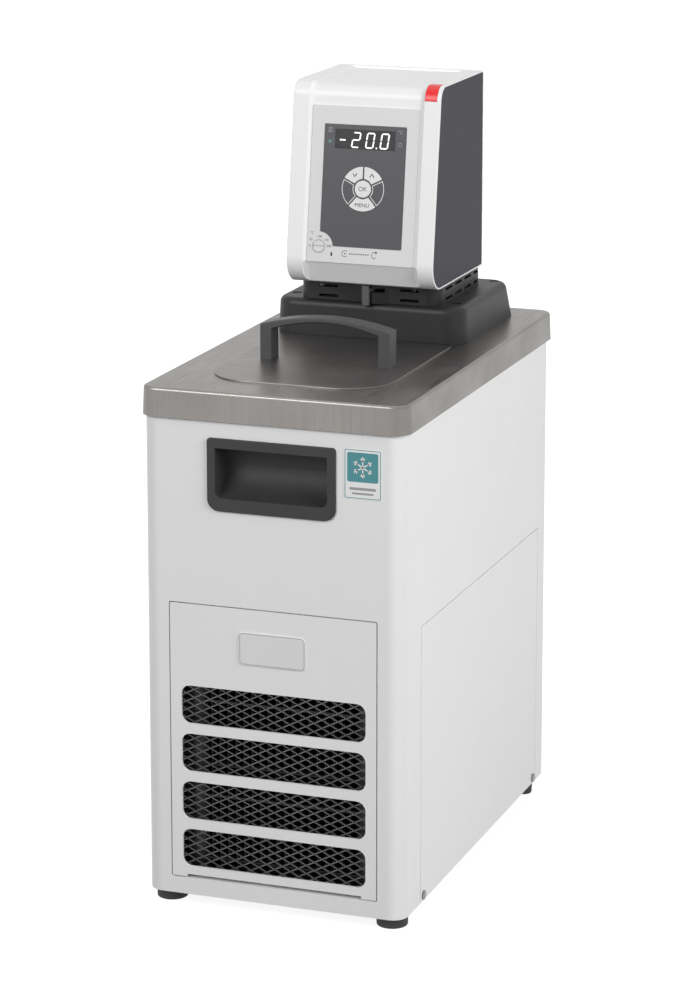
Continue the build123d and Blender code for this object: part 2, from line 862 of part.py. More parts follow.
# Foam insulation moulded round the tank, under its flange
foam_top = tank_flange_top - tank_sheet
foam_bottom = bath_floor - tank_sheet - insulation_floor
foam_front = bath_start - tank_sheet - insulation_end
foam_rear = bath_end + tank_sheet + insulation_end
with BuildPart() as tank_insulation:
    with BuildSketch(Plane.XY.offset(foam_bottom)):
        with Locations((0, (foam_front + foam_rear) / 2)):
            RectangleRounded(
                bath_width + 2 * (tank_sheet + insulation_side), foam_rear - foam_front, 8
            )
    extrude(amount=foam_top - foam_bottom)
    with BuildPart(mode=Mode.PRIVATE) as tank_space:
        with BuildSketch(Plane.XY.offset(bath_floor - tank_sheet - assembly_gap)):
            with Locations((0, bath_mid)):
                RectangleRounded(
                    bath_width + 2 * (tank_sheet + assembly_gap),
                    bath_length + 2 * (tank_sheet + assembly_gap),
                    bath_corner + tank_sheet + assembly_gap,
                )
        extrude(amount=bath_depth)
        fillet(tank_space.faces().sort_by(Axis.Z)[0].edges(), tank_floor_radius + tank_sheet)
    add(tank_space.part, mode=Mode.SUBTRACT)
    with BuildSketch(Plane.XZ.offset(-foam_rear)):
        with Locations(*tail_places):
            Circle(coil_tube + assembly_gap)
    extrude(amount=2 * insulation_end, mode=Mode.SUBTRACT)
    with BuildSketch(Plane.XY.offset(foam_bottom)):
        with Locations((0, drain_y)):
            Circle(drain_tube + assembly_gap)
    extrude(amount=insulation_floor, mode=Mode.SUBTRACT)
save(tank_insulation.part, "tank_insulation")

# Bath lid: thin stainless sheet, large front corners, locating rim under it
lid_start = lid_front - deck_depth / 2
lid_end = plinth_front - lid_rim_gap
lid_mid = (lid_start + lid_end) / 2
rim_start = bath_start + lid_rim_gap
rim_end = lid_end - 2 * lid_rim_gap
rim_mid = (rim_start + rim_end) / 2
handle_y = lid_mid - handle_set
handle_length = bath_width - 2 * handle_inset
handle_post_x = (handle_length - handle_post) / 2
with BuildPart() as bath_lid:
    with BuildSketch(Plane.XY.offset(deck_height)) as lid_plan:
        with Locations((0, lid_mid)):
            Rectangle(lid_width, lid_end - lid_start)
        fillet(lid_plan.vertices().group_by(Axis.Y)[0], lid_corner)
        fillet(lid_plan.vertices().group_by(Axis.Y)[-1], lid_rear_corner)
    extrude(amount=lid_sheet)
    fillet(bath_lid.faces().sort_by(Axis.Z)[-1].edges(), 0.5)
    with BuildSketch(Plane.XY.offset(deck_height)) as rim_plan:
        with Locations((0, rim_mid)):
            Rectangle(bath_width - 2 * lid_rim_gap, rim_end - rim_start)
        fillet(rim_plan.vertices().group_by(Axis.Y)[0], bath_corner - lid_rim_gap)
        fillet(rim_plan.vertices().group_by(Axis.Y)[-1], lid_rear_corner)
        offset(amount=-lid_rim_wall, mode=Mode.SUBTRACT)
    extrude(amount=-lid_rim_depth)
    with BuildSketch(Plane.XY.offset(deck_height)):
        with Locations(*[(sx * handle_post_x, handle_y) for sx in (-1, 1)]):
            Circle(screw_shank_radius + assembly_gap)
    extrude(amount=lid_sheet, mode=Mode.SUBTRACT)
save(bath_lid.part, "bath_lid")

# Lid handle: two posts and a shallow arched bar, moulded in one
lid_top = deck_height + lid_sheet
with BuildPart() as lid_handle:
    with BuildSketch(Plane.XZ.offset(-handle_y)):
        with BuildLine():
            Polyline(
                (-handle_length / 2, lid_top + handle_rise),
                (-handle_length / 2, lid_top),
                (-handle_length / 2 + handle_post, lid_top),
                (-handle_length / 2 + handle_post, lid_top + handle_rise - handle_bar),
            )
            ThreePointArc(
                (-handle_length / 2 + handle_post, lid_top + handle_rise - handle_bar),
                (0, lid_top + handle_rise + handle_arch - handle_bar),
                (handle_length / 2 - handle_post, lid_top + handle_rise - handle_bar),
            )
            Polyline(
                (handle_length / 2 - handle_post, lid_top + handle_rise - handle_bar),
                (handle_length / 2 - handle_post, lid_top),
                (handle_length / 2, lid_top),
                (handle_length / 2, lid_top + handle_rise),
            )
            ThreePointArc(
                (handle_length / 2, lid_top + handle_rise),
                (0, lid_top + handle_rise + handle_arch),
                (-handle_length / 2, lid_top + handle_rise),
            )
        make_face()
    extrude(amount=handle_depth / 2, both=True)
    chamfer(lid_handle.faces().filter_by(Axis.Y).edges().filter_by(GeomType.CIRCLE), handle_edge)
    with BuildSketch(Plane.XY.offset(lid_top)):
        with Locations(*[(sx * handle_post_x, handle_y) for sx in (-1, 1)]):
            Circle(screw_shank_radius)
    extrude(amount=handle_rise / 2, mode=Mode.SUBTRACT)
save(lid_handle.part, "lid_handle")

with BuildPart() as lid_handle_screws:
    with BuildSketch(Plane.XY.offset(deck_height)):
        with Locations(*[(sx * handle_post_x, handle_y) for sx in (-1, 1)]):
            Circle(screw_head_radius)
    extrude(amount=-screw_head_height)
    with BuildSketch(Plane.XY.offset(deck_height)):
        with Locations(*[(sx * handle_post_x, handle_y) for sx in (-1, 1)]):
            Circle(screw_shank_radius)
    extrude(amount=lid_sheet + handle_rise / 2 - 1)
save(lid_handle_screws.part, "lid_handle_screws")

# Plinth: black moulding with tapered walls, a sloping back and four screw bosses
plinth_screw_y = (plinth_front + plinth_screw_front, plinth_rear - plinth_screw_rear)
plinth_screw_places = [(sx * plinth_screw_x, y) for sx in (-1, 1) for y in plinth_screw_y]
pocket_front = lever_y - 2
pocket_rear = coil_rear + coil_tube
port_height = deck_height + port_flange_radius + 2.5
port_places = [(sx * port_spacing / 2, port_height) for sx in (-1, 1)]


def plinth_loft(inset, top_cut):
    """Plinth block as a loft between its foot and its top, inset all round."""
    with BuildPart(mode=Mode.PRIVATE) as block:
        with BuildSketch(Plane.XY.offset(deck_height)):
            with Locations((0, (plinth_front + plinth_rear) / 2)):
                RectangleRounded(
                    plinth_width - 2 * inset, plinth_rear - plinth_front - 2 * inset,
                    plinth_corner - inset,
                )
        with BuildSketch(Plane.XY.offset(plinth_top - top_cut)):
            with Locations((0, (plinth_front + plinth_top_rear) / 2 + 0.4)):
                RectangleRounded(
                    plinth_top_width - 2 * inset, plinth_top_rear - plinth_front - 0.8 - 2 * inset,
                    plinth_corner - inset,
                )
        loft()
    return block.part


with BuildPart() as plinth:
    add(plinth_loft(0, 0))
    fillet(plinth.faces().sort_by(Axis.Z)[-1].edges(), plinth_edge)
    with BuildSketch(Plane.XZ.offset(-plinth_rear)):
        with Locations(*port_places):
            Circle(port_flange_radius + 1)
    extrude(amount=plinth_rear - plinth_top_rear)
    add(plinth_loft(plinth_wall, plinth_wall), mode=Mode.SUBTRACT)
    with BuildSketch(Plane.XY.offset(deck_height)):
        with Locations(*plinth_screw_places):
            Circle(plinth_boss_radius)
    extrude(amount=plinth_height - plinth_wall)
    with BuildSketch(Plane.XY.offset(plinth_top)):
        with Locations(*plinth_screw_places):
            Circle(screw_head_radius + assembly_gap)
    extrude(amount=-screw_head_height - screw_sink, mode=Mode.SUBTRACT)
    with BuildSketch(Plane.XY.offset(plinth_top)):
        with Locations(*plinth_screw_places):
            Circle(screw_shank_radius + assembly_gap)
    extrude(amount=-plinth_height, mode=Mode.SUBTRACT)
    with BuildSketch(Plane.XY.offset(plinth_top)):
        with Locations((0, (pocket_front + pocket_rear) / 2)):
            RectangleRounded(coil_width - 8, pocket_rear - pocket_front, 8)
    extrude(amount=-plinth_wall, mode=Mode.SUBTRACT)
    with BuildSketch(Plane.XZ.offset(-plinth_rear)):
        with Locations(*port_places):
            Circle(port_radius + assembly_gap)
    extrude(amount=2 * (plinth_rear - plinth_top_rear), mode=Mode.SUBTRACT)
save(plinth.part, "plinth")

# Pump ports: two hollow stubs with a hexagon flange and tubes down to pump and bath
volute_bottom = bath_floor + pump_floor_gap
volute_top = volute_bottom + volute_height
port_x = port_spacing / 2
stub_end = plinth_top_rear - plinth_wall - 2.0


def port_path(side, low, stretch=0.0):
    """Line of a port tube from its stub forwards and down into the bath."""
    with BuildLine() as line:
        FilletPolyline(
            (side * port_x, stub_end + stretch, port_height),
            (side * port_x, port_drop_y, port_height),
            (side * port_x, port_drop_y, low - stretch),
            radius=port_bend,
        )
    return line.line


def tube(path, radius):
    """Round rod of a radius swept along a path."""
    with BuildPart(mode=Mode.PRIVATE) as rod:
        with BuildSketch(Plane(origin=path @ 0, z_dir=path % 0)):
            Circle(radius)
        sweep(path=path)
    return rod.part


tube_ends = {-1: bath_floor + return_end_rise, 1: volute_top + spout_rise}
with BuildPart() as pump_ports:
    with BuildSketch(Plane.XZ.offset(-plinth_rear)):
        with Locations(*port_places):
            RegularPolygon(port_flange_radius, 6)
    extrude(amount=-port_flange)
    with BuildSketch(Plane.XZ.offset(-(plinth_rear + port_flange + port_length))):
        with Locations(*port_places):
            Circle(port_radius)
    extrude(amount=port_length + port_flange + plinth_rear - stub_end)
    chamfer(pump_ports.faces().sort_by(Axis.Y)[-2:].edges(), 0.8)
    for side, low in tube_ends.items():
        add(tube(port_path(side, low), port_tube))
    with BuildSketch(Plane.XZ.offset(-(plinth_rear + port_flange + port_length))):
        with Locations(*port_places):
            Circle(port_bore)
    extrude(amount=port_length + port_flange + plinth_rear - stub_end - port_flange, mode=Mode.SUBTRACT)
    for side, low in tube_ends.items():
        add(tube(port_path(side, low, port_flange + 1), port_tube_bore), mode=Mode.SUBTRACT)
save(pump_ports.part, "pump_ports")

with BuildPart() as plinth_screws:
    with BuildSketch(Plane.XY.offset(plinth_top - screw_head_height - screw_sink)):
        with Locations(*plinth_screw_places):
            Circle(screw_head_radius)
    extrude(amount=screw_head_height)
    with BuildSketch(Plane.XY.offset(plinth_top - screw_head_height - screw_sink)):
        with Locations(*plinth_screw_places):
            Circle(screw_shank_radius)
    extrude(amount=-(plinth_height - screw_head_height - screw_sink + deck_sheet + moving_gap))
save(plinth_screws.part, "plinth_screws")

# Head base: shallow vented tray with a rounded bulge round the pump lever
base_mid = (base_front + base_rear) / 2
base_floor = plinth_top + base_wall
lever_low = base_floor + 7.6


def base_outline(inset):
    """Plan of the head base, a rounded rectangle joined with the lever bulge."""
    with BuildSketch() as plan:
        with Locations((0, base_mid)):
            RectangleRounded(
                base_width - 2 * inset, base_rear - base_front - 2 * inset, base_corner - inset
            )
        with Locations((lever_x, lever_y)):
            Circle(bulge_radius - inset)
    return plan.sketch


immersed_holes = [
    ((0, pump_y), shaft_radius + 1.5),
    ((-heater_width / 2, heater_rear), heater_tube + assembly_gap),
    ((heater_width / 2, heater_rear), heater_tube + assembly_gap),
    ((probe_x, sensor_y), probe_radius + assembly_gap),
    ((sensor_x, sensor_y), sensor_stem + assembly_gap),
]
with BuildPart() as head_base:
    with BuildSketch(Plane.XY.offset(plinth_top)):
        add(base_outline(0))
    extrude(amount=base_height)
    with BuildSketch(Plane.XY.offset(base_floor)):
        add(base_outline(base_wall))
    extrude(amount=base_height, mode=Mode.SUBTRACT)
    with BuildSketch(Plane.XZ.offset(-base_front)):
        with Locations(
            *[(sx * vent_front_x, plinth_top + z) for sx in (-1, 1) for z in vent_rows]
        ):
            Rectangle(vent_length, vent_height)
    extrude(amount=-2 * base_wall, mode=Mode.SUBTRACT)
    with BuildSketch(Plane.YZ):
        for row in vent_rows:
            with Locations((base_mid + 6, plinth_top + row)):
                with GridLocations(side_vent_pitch, 1, side_vent_count, 1):
                    Rectangle(side_vent_length, vent_height)
    extrude(amount=base_width, both=True, mode=Mode.SUBTRACT)
    with BuildSketch(Plane.XY.offset(lever_low - moving_gap)):
        with Locations((lever_x, lever_y)):
            Polygon(
                (0, 0),
                (-2 * lever_reach * tan(radians(lever_swing + 9)), -2 * lever_reach),
                (2 * lever_reach * tan(radians(lever_swing + 9)), -2 * lever_reach),
                align=None,
            )
            Circle(bulge_radius - 2 * base_wall, mode=Mode.SUBTRACT)
    extrude(amount=lever_arm + 2 * moving_gap, mode=Mode.SUBTRACT)
    with BuildSketch(Plane.XY.offset(base_floor)):
        with Locations((lever_x, lever_y)):
            Circle(shaft_radius)
    extrude(amount=base_height - base_wall - moving_gap)
    with BuildSketch(Plane.XY.offset(base_floor)):
        with Locations((lever_x, lever_y)):
            Circle(2 * shaft_radius)
    extrude(amount=lever_low - base_floor - moving_gap)
    for place, radius in immersed_holes:
        with BuildSketch(Plane.XY.offset(plinth_top)):
            with Locations(place):
                Circle(radius)
        extrude(amount=base_wall, mode=Mode.SUBTRACT)
save(head_base.part, "head_base")

# Pump lever: ring on its post, flat arm through the slot, upright tab in front
with BuildPart() as straight_lever:
    with BuildSketch(Plane.XY.offset(lever_low)):
        with Locations((lever_x, lever_y)):
            Circle(2 * shaft_radius)
        with Locations((lever_x, lever_y - lever_reach / 2)):
            Rectangle(lever_width - 1.6, lever_reach)
    extrude(amount=lever_arm)
    with BuildSketch(Plane.XY.offset(plinth_top - 0.8)):
        with Locations((lever_x, lever_y - lever_reach + lever_tab / 2)):
            RectangleRounded(lever_width, lever_tab, 1.2)
    extrude(amount=base_height + 0.8 - moving_gap)
    with BuildSketch(Plane.XY.offset(lever_low)):
        with Locations((lever_x, lever_y)):
            Circle(shaft_radius + bearing_gap)
    extrude(amount=lever_arm, mode=Mode.SUBTRACT)
lever_axis = Axis((lever_x, lever_y, 0), (0, 0, 1))
with BuildPart() as pump_lever:
    add(straight_lever.part.rotate(lever_axis, -lever_rest))
save(pump_lever.part, "pump_lever")


def head_profile(inset):
    """Side profile of the head, leaning front and rounded corners, inset all round."""
    with BuildSketch() as profile:
        with BuildLine():
            Polyline(
                (front_y(head_floor), head_floor),
                (front_y(head_top), head_top),
                (head_rear, head_top),
                (head_rear, head_floor),
                close=True,
            )
        make_face()
        fillet(profile.vertices().group_by(Axis.Y)[-1].sort_by(Axis.X)[-1], head_crown_radius)
        fillet(profile.vertices().group_by(Axis.Y)[-1].sort_by(Axis.X)[0], head_brow_radius)
        fillet(profile.vertices().group_by(Axis.Y)[0].sort_by(Axis.X)[0], head_heel_radius)
        if inset:
            offset(amount=-inset, mode=Mode.REPLACE)
    return profile.sketch


def recess_profile():
    """Side profile of the head's middle: sunk front and top, cut-back chin, raised rear rim."""
    sunk_top = head_top - recess_depth
    step = head_rear - recess_rear_rim
    with BuildSketch() as profile:
        with BuildLine():
            Polyline(
                (head_front + chamfer_setback, head_floor),
                (front_y(head_floor + chamfer_rise, recess_depth), head_floor + chamfer_rise),
                (front_y(sunk_top, recess_depth), sunk_top),
                (step, sunk_top),
                (step + recess_depth, head_top + 10),
                (head_rear + 10, head_top + 10),
                (head_rear + 10, head_floor - 10),
                (head_front + chamfer_setback, head_floor - 10),
                close=True,
            )
        make_face()
        brow = profile.vertices().group_by(Axis.Y)[-2].sort_by(Axis.X)[0]
        fillet(brow, head_brow_radius - recess_depth)
    return profile.sketch


# Power button: a block across the brow, square to the chord between its two visible ends
button_low = head_top - button_drop
chord_start = (front_y(button_low), button_low)
chord_end = (front_y(head_top) + button_back, head_top)
chord_run = chord_end[0] - chord_start[0]
chord_angle = degrees(atan(button_drop / chord_run))
chord_length = chord_run / cos(radians(chord_angle))
chord_mid = ((chord_start[0] + chord_end[0]) / 2, (chord_start[1] + chord_end[1]) / 2)


def brow_block(grow, near, far):
    """Rectangle square to the brow chord, grown at both ends, from near to far inwards."""
    with BuildSketch() as block:
        with Locations(Location((chord_mid[0], chord_mid[1], 0), (0, 0, chord_angle))):
            with Locations((0, -(near + far) / 2)):
                Rectangle(chord_length + 2 * grow, far - near)
    return block.sketch


# Head housing: hoop with a sunk middle band, side seats, front window and a rear frame
head_half = head_width / 2
seat_half = head_half - cover_sheet
ramp_angle = degrees(atan(recess_depth / recess_ramp))
block_width = panel_width - 2 * panel_rebate
block_height = panel_height - 2 * panel_rebate
panel_up = chamfer_rise + panel_rise
panel_mid = panel_up + panel_height / 2
dial_x = -panel_width / 2 - 0.7
dial_up = panel_up - 0.7
overlay_mid = chamfer_rise + overlay_height / 2
board_mid = panel_mid - 4.0
board_bosses = [(sx * board_boss_x, panel_up + rise) for sx in (-1, 1) for rise in board_boss_rises]
frame_front = head_rear - rear_cover_sheet - rear_frame
rear_mid = (head_floor + head_top) / 2
rear_open_width = 2 * (seat_half - rear_frame_lip - 1)
rear_open_height = head_height - 2 * (head_wall + rear_frame_lip)
with BuildPart() as head_housing:
    with BuildSketch(Plane.YZ):
        add(head_profile(0))
    extrude(amount=head_half, both=True)
    fillet(
        head_housing.faces().sort_by(Axis.X)[0].edges()
        + head_housing.faces().sort_by(Axis.X)[-1].edges(),
        head_edge,
    )
    with BuildSketch(Plane.YZ):
        with Locations((rear_mid / 4, rear_mid)):
            Rectangle(2 * head_rear, head_height + 16)
        add(recess_profile(), mode=Mode.SUBTRACT)
    extrude(amount=recess_half, both=True, mode=Mode.SUBTRACT)
    for side in (-1, 1):
        with BuildSketch(Plane.YZ.offset(side * recess_half)):
            with Locations((rear_mid / 4, rear_mid)):
                Rectangle(2 * head_rear, head_height + 16)
            add(recess_profile(), mode=Mode.SUBTRACT)
        extrude(amount=side * recess_ramp, taper=ramp_angle, mode=Mode.SUBTRACT)
        with BuildSketch(Plane.YZ.offset(side * seat_half)):
            add(head_profile(cover_margin))
        extrude(amount=side * (cover_sheet + 1), mode=Mode.SUBTRACT)
    with BuildSketch(Plane.YZ):
        add(head_profile(head_wall))
        with Locations((frame_front + head_wall, rear_mid)):
            Rectangle(2 * head_wall, head_height, mode=Mode.SUBTRACT)
        Polygon(
            (head_front, head_floor - 1),
            (head_front + chamfer_setback + head_wall, head_floor - 1),
            (front_y(head_floor + chamfer_rise, recess_depth) + chin_wall, head_floor + chamfer_rise),
            (head_front, head_floor + chamfer_rise),
            mode=Mode.SUBTRACT,
            align=None,
        )
    extrude(amount=seat_half, both=True, mode=Mode.SUBTRACT)
    with BuildSketch(Plane.XZ.offset(-head_rear)):
        with Locations((0, rear_mid)):
            Rectangle(rear_open_width, rear_open_height)
    extrude(amount=2 * head_wall, mode=Mode.SUBTRACT)
    with BuildSketch(Plane.XZ.offset(-head_rear)):
        with Locations((0, rear_mid)):
            Rectangle(2 * (seat_half - 1), head_height - 2 * head_wall)
    extrude(amount=rear_cover_sheet, mode=Mode.SUBTRACT)
    with BuildSketch(front_plane(-recess_depth)):
        with Locations(*board_bosses):
            Circle(board_boss_radius)
    extrude(amount=-(board_set - recess_depth))
    with BuildSketch(front_plane()):
        with Locations((0, panel_mid)):
            Rectangle(block_width + 2 * moving_gap, block_height + 2 * moving_gap)
        with Locations((dial_x, dial_up)):
            Circle(notch_radius + panel_rebate - moving_gap, mode=Mode.SUBTRACT)
        with Locations((dial_x, dial_up)):
            Circle(dial_radius + moving_gap)
    extrude(amount=-1.4 * head_wall, mode=Mode.SUBTRACT)
    with BuildSketch(Plane.YZ.offset(button_x - button_width / 2 - moving_gap)):
        add(brow_block(moving_gap, -2 * head_brow_radius, button_depth + button_flange))
    extrude(amount=button_width + 2 * moving_gap, mode=Mode.SUBTRACT)
    with BuildSketch(Plane.XY.offset(head_floor)):
        with Locations((0, pump_y)):
            Circle(shaft_radius + 1.5)
    extrude(amount=2 * head_wall, mode=Mode.SUBTRACT)
save(head_housing.part, "head_housing")


def side_cover(side):
    """Dark side cover, seated in the housing rim on the left (-1) or right (1)."""
    with BuildPart() as cover:
        with BuildSketch(Plane.YZ.offset(side * seat_half)):
            add(head_profile(cover_margin + cover_gap))
        extrude(amount=side * (cover_sheet - cover_sink))
    return cover.part


save(side_cover(-1), "side_cover_left")
save(side_cover(1), "side_cover_right")

# Rear cover: plate in the rear frame, with vent slots and the inlet cut-out
inlet_place = (0, head_floor + inlet_rise)
with BuildPart() as rear_cover:
    with BuildSketch(Plane.XZ.offset(-head_rear)):
        with Locations((0, rear_mid)):
            Rectangle(2 * (seat_half - 1 - cover_gap), head_height - 2 * (head_wall + cover_gap))
        with Locations((0, head_top - head_wall - 4 * head_vent_pitch)):
            with GridLocations(1, head_vent_pitch, 1, head_vent_count):
                SlotOverall(head_vent_width, head_vent_height, mode=Mode.SUBTRACT)
        with Locations(inlet_place):
            Rectangle(
                inlet_width + 2 * assembly_gap, inlet_height + 2 * assembly_gap, mode=Mode.SUBTRACT
            )
    extrude(amount=rear_cover_sheet)
save(rear_cover.part, "rear_cover")

# Front overlay: light film on the sunk front with a window for the dark panel
with BuildPart() as front_overlay:
    with BuildSketch(front_plane()):
        with Locations((0, overlay_mid)):
            RectangleRounded(2 * (recess_half - moving_gap), overlay_height, 0.8)
        with Locations((0, panel_mid)):
            Rectangle(panel_width + 2 * cover_gap, panel_height + 2 * cover_gap, mode=Mode.SUBTRACT)
        with Locations((dial_x, dial_up)):
            Circle(notch_radius - cover_gap)
            Circle(dial_radius + moving_gap, mode=Mode.SUBTRACT)
        with Locations((0, overlay_mid)):
            Rectangle(2 * (recess_half - moving_gap), overlay_height, mode=Mode.INTERSECT)
    extrude(amount=overlay_sheet)
save(front_overlay.part, "front_overlay")


def key_shape(start, end, grow):
    """Key outline between two angles of the ring, grown all round from its visible edge."""
    half = (start + end) / 2
    spread = (end - start) / 2
    far = 3 * ring_radius
    with BuildSketch() as key:
        Circle(ring_radius + ring_split / 2)
        Circle(ok_radius + ring_split / 2, mode=Mode.SUBTRACT)
        Polygon(
            (0, 0),
            (far * cos(radians(half - spread)), far * sin(radians(half - spread))),
            (far * cos(radians(half)), far * sin(radians(half))),
            (far * cos(radians(half + spread)), far * sin(radians(half + spread))),
            align=None,
            mode=Mode.INTERSECT,
        )
        offset(amount=grow - ring_split / 2, kind=Kind.INTERSECTION)
    return key.sketch


ring_place = (0, panel_up + ring_rise)
key_angles = {"key_up": (26, 90), "key_down": (90, 154), "key_menu": (229, 311)}
display_place = (0, panel_up + panel_height - display_drop - display_height / 2)

# Dark display panel: plate on the sunk front and a block behind it in the window
with BuildPart() as display_panel:
    with BuildSketch(front_plane()) as plate:
        with Locations((0, panel_mid)):
            RectangleRounded(panel_width, panel_height, panel_corner)
        with Locations((dial_x, dial_up)):
            Circle(notch_radius, mode=Mode.SUBTRACT)
    extrude(amount=panel_sheet)
    with BuildSketch(front_plane()):
        with Locations((0, panel_mid)):
            Rectangle(block_width, block_height)
        with Locations((dial_x, dial_up)):
            Circle(notch_radius + panel_rebate, mode=Mode.SUBTRACT)
    extrude(amount=-panel_rear)
    with BuildSketch(front_plane(panel_sheet)):
        with Locations(display_place):
            Rectangle(display_width, display_height)
        with Locations(ring_place):
            Circle(ok_radius + moving_gap)
            for angles in key_angles.values():
                add(key_shape(*angles, moving_gap))
    extrude(amount=-(panel_sheet + panel_rear), mode=Mode.SUBTRACT)
save(display_panel.part, "display_panel")

with BuildPart() as led_display:
    with BuildSketch(front_plane(panel_sheet - display_sink)):
        with Locations(display_place):
            Rectangle(display_width - 2 * cover_gap, display_height - 2 * cover_gap)
    extrude(amount=-display_body)
save(led_display.part, "led_display")

# Keys: cap through the panel, a flange that keeps it in, and a stem towards its switch
flange_front = -panel_rear - moving_gap
stem_end = -board_set + switch_height + key_travel + moving_gap


def key_piece(outline, collar, stem_place):
    """One sliding key from its visible outline, its wider collar and its stem place."""
    with BuildPart() as key:
        with BuildSketch(front_plane(panel_sheet + key_proud)):
            with Locations(ring_place):
                add(outline)
        extrude(amount=-(panel_sheet + key_proud - flange_front))
        with BuildSketch(front_plane(flange_front)):
            with Locations(ring_place):
                add(collar)
        extrude(amount=-key_flange)
        with BuildSketch(front_plane(flange_front - key_flange)):
            with Locations(ring_place):
                with Locations(stem_place):
                    Circle(key_stem_radius)
        extrude(amount=stem_end - flange_front + key_flange)
    return key.part


def disc(radius, ear):
    """Round outline for the middle key, with an ear of a length on its left and right."""
    with BuildSketch() as round_outline:
        Circle(radius)
        if ear:
            Rectangle(2 * (radius + ear), key_ear_width)
    return round_outline.sketch


stem_ring = (ring_radius + ok_radius) / 2
stem_places = {"key_ok": (0, 0)}
for name, (start, end) in key_angles.items():
    middle = radians((start + end) / 2)
    stem_places[name] = (stem_ring * cos(middle), stem_ring * sin(middle))
    save(
        key_piece(key_shape(start, end, 0), key_shape(start, end, key_collar), stem_places[name]),
        name,
    )
save(key_piece(disc(ok_radius, 0), disc(ok_radius, key_ear), stem_places["key_ok"]), "key_ok")

# Cut-out dial: slotted round spindle in the notch of the panel
with BuildPart() as cutoff_dial:
    with BuildSketch(front_plane(overlay_sheet + dial_proud)):
        with Locations((dial_x, dial_up)):
            Circle(dial_radius)
    extrude(amount=-(overlay_sheet + dial_proud + dial_body))
    with BuildSketch(front_plane(overlay_sheet + dial_proud)):
        with Locations((dial_x, dial_up)):
            Rectangle(2 * dial_radius, dial_slot)
    extrude(amount=-dial_slot, mode=Mode.SUBTRACT)
save(cutoff_dial.part, "cutoff_dial")

# Control board on the housing's bosses, with switches and the dial's potentiometer
with BuildPart() as control_board:
    with BuildSketch(front_plane(-board_set)):
        with Locations((0, board_mid)):
            RectangleRounded(board_width, board_height, 2)
    extrude(amount=-board_sheet)
    with BuildSketch(front_plane(-board_set)):
        with Locations(ring_place):
            with Locations(*stem_places.values()):
                Rectangle(switch_size, switch_size)
    extrude(amount=switch_height)
    with BuildSketch(front_plane(-board_set)):
        with Locations((dial_x, dial_up)):
            Rectangle(2 * dial_radius, 2 * dial_radius)
    extrude(amount=board_set - dial_body - moving_gap)
save(control_board.part, "control_board")

# Power button: slides into the housing, square to the brow
with BuildPart() as power_button:
    with BuildSketch(Plane.YZ.offset(button_x - button_width / 2)):
        add(head_profile(0))
        add(brow_block(0, -2 * head_brow_radius, button_depth), mode=Mode.INTERSECT)
        add(brow_block(2 * moving_gap, button_depth, button_depth + button_flange))
    extrude(amount=button_width)
save(power_button.part, "power_button")

# Mains inlet: flanged socket with three blades in its recess
with BuildPart() as mains_inlet:
    with BuildSketch(Plane.XZ.offset(-head_rear)):
        with Locations(inlet_place):
            Rectangle(inlet_width, inlet_height)
    extrude(amount=inlet_depth)
    with BuildSketch(Plane.XZ.offset(-head_rear)):
        with Locations(inlet_place):
            RectangleRounded(inlet_width + 2 * inlet_flange, inlet_height + inlet_flange, 2)
    extrude(amount=-inlet_rim)
    with BuildSketch(Plane.XZ.offset(-(head_rear + inlet_rim))):
        with Locations(inlet_place):
            Rectangle(inlet_width - 2 * inlet_rim, inlet_height - 2 * inlet_rim)
    extrude(amount=inlet_depth, mode=Mode.SUBTRACT)
    with BuildSketch(Plane.XZ.offset(-(head_rear + inlet_rim - inlet_depth))):
        with Locations(inlet_place):
            with Locations((-7, -2), (0, 2), (7, -2)):
                Rectangle(2, 4)
    extrude(amount=2 * inlet_rim - inlet_depth)
save(mains_inlet.part, "mains_inlet")

# Pump motor on the housing floor, its shaft bore open downwards
motor_floor = head_floor + head_wall
with BuildPart() as pump_motor:
    with BuildSketch(Plane.XY.offset(motor_floor)):
        with Locations((0, pump_y)):
            Circle(pump_motor_radius)
    extrude(amount=pump_motor_height)
    fillet(pump_motor.edges().filter_by(GeomType.CIRCLE), 2.0)
    with BuildSketch(Plane.XY.offset(motor_floor + pump_motor_height)):
        with Locations((0, pump_y)):
            Circle(pump_motor_radius / 2)
    extrude(amount=pump_motor_cap)
    with BuildSketch(Plane.XY.offset(motor_floor)):
        with Locations((0, pump_y)):
            Circle(shaft_radius + bearing_gap)
    extrude(amount=shaft_grip + moving_gap, mode=Mode.SUBTRACT)
save(pump_motor.part, "pump_motor")

# Pump rotor: long shaft with a vaned impeller in the volute
impeller_low = volute_bottom + (volute_height - impeller_height) / 2
with BuildPart() as pump_rotor:
    with BuildSketch(Plane.XY.offset(impeller_low)):
        with Locations((0, pump_y)):
            Circle(shaft_radius)
    extrude(amount=motor_floor + shaft_grip - impeller_low)
    with BuildSketch(Plane.XY.offset(impeller_low)):
        with Locations((0, pump_y)):
            Circle(impeller_radius)
    extrude(amount=impeller_height / 4)
    with BuildSketch(Plane.XY.offset(impeller_low)):
        with Locations((0, pump_y)):
            with PolarLocations(impeller_radius / 2 + 1, 6):
                Rectangle(impeller_radius - 2, 2)
    extrude(amount=impeller_height)
save(pump_rotor.part, "pump_rotor")

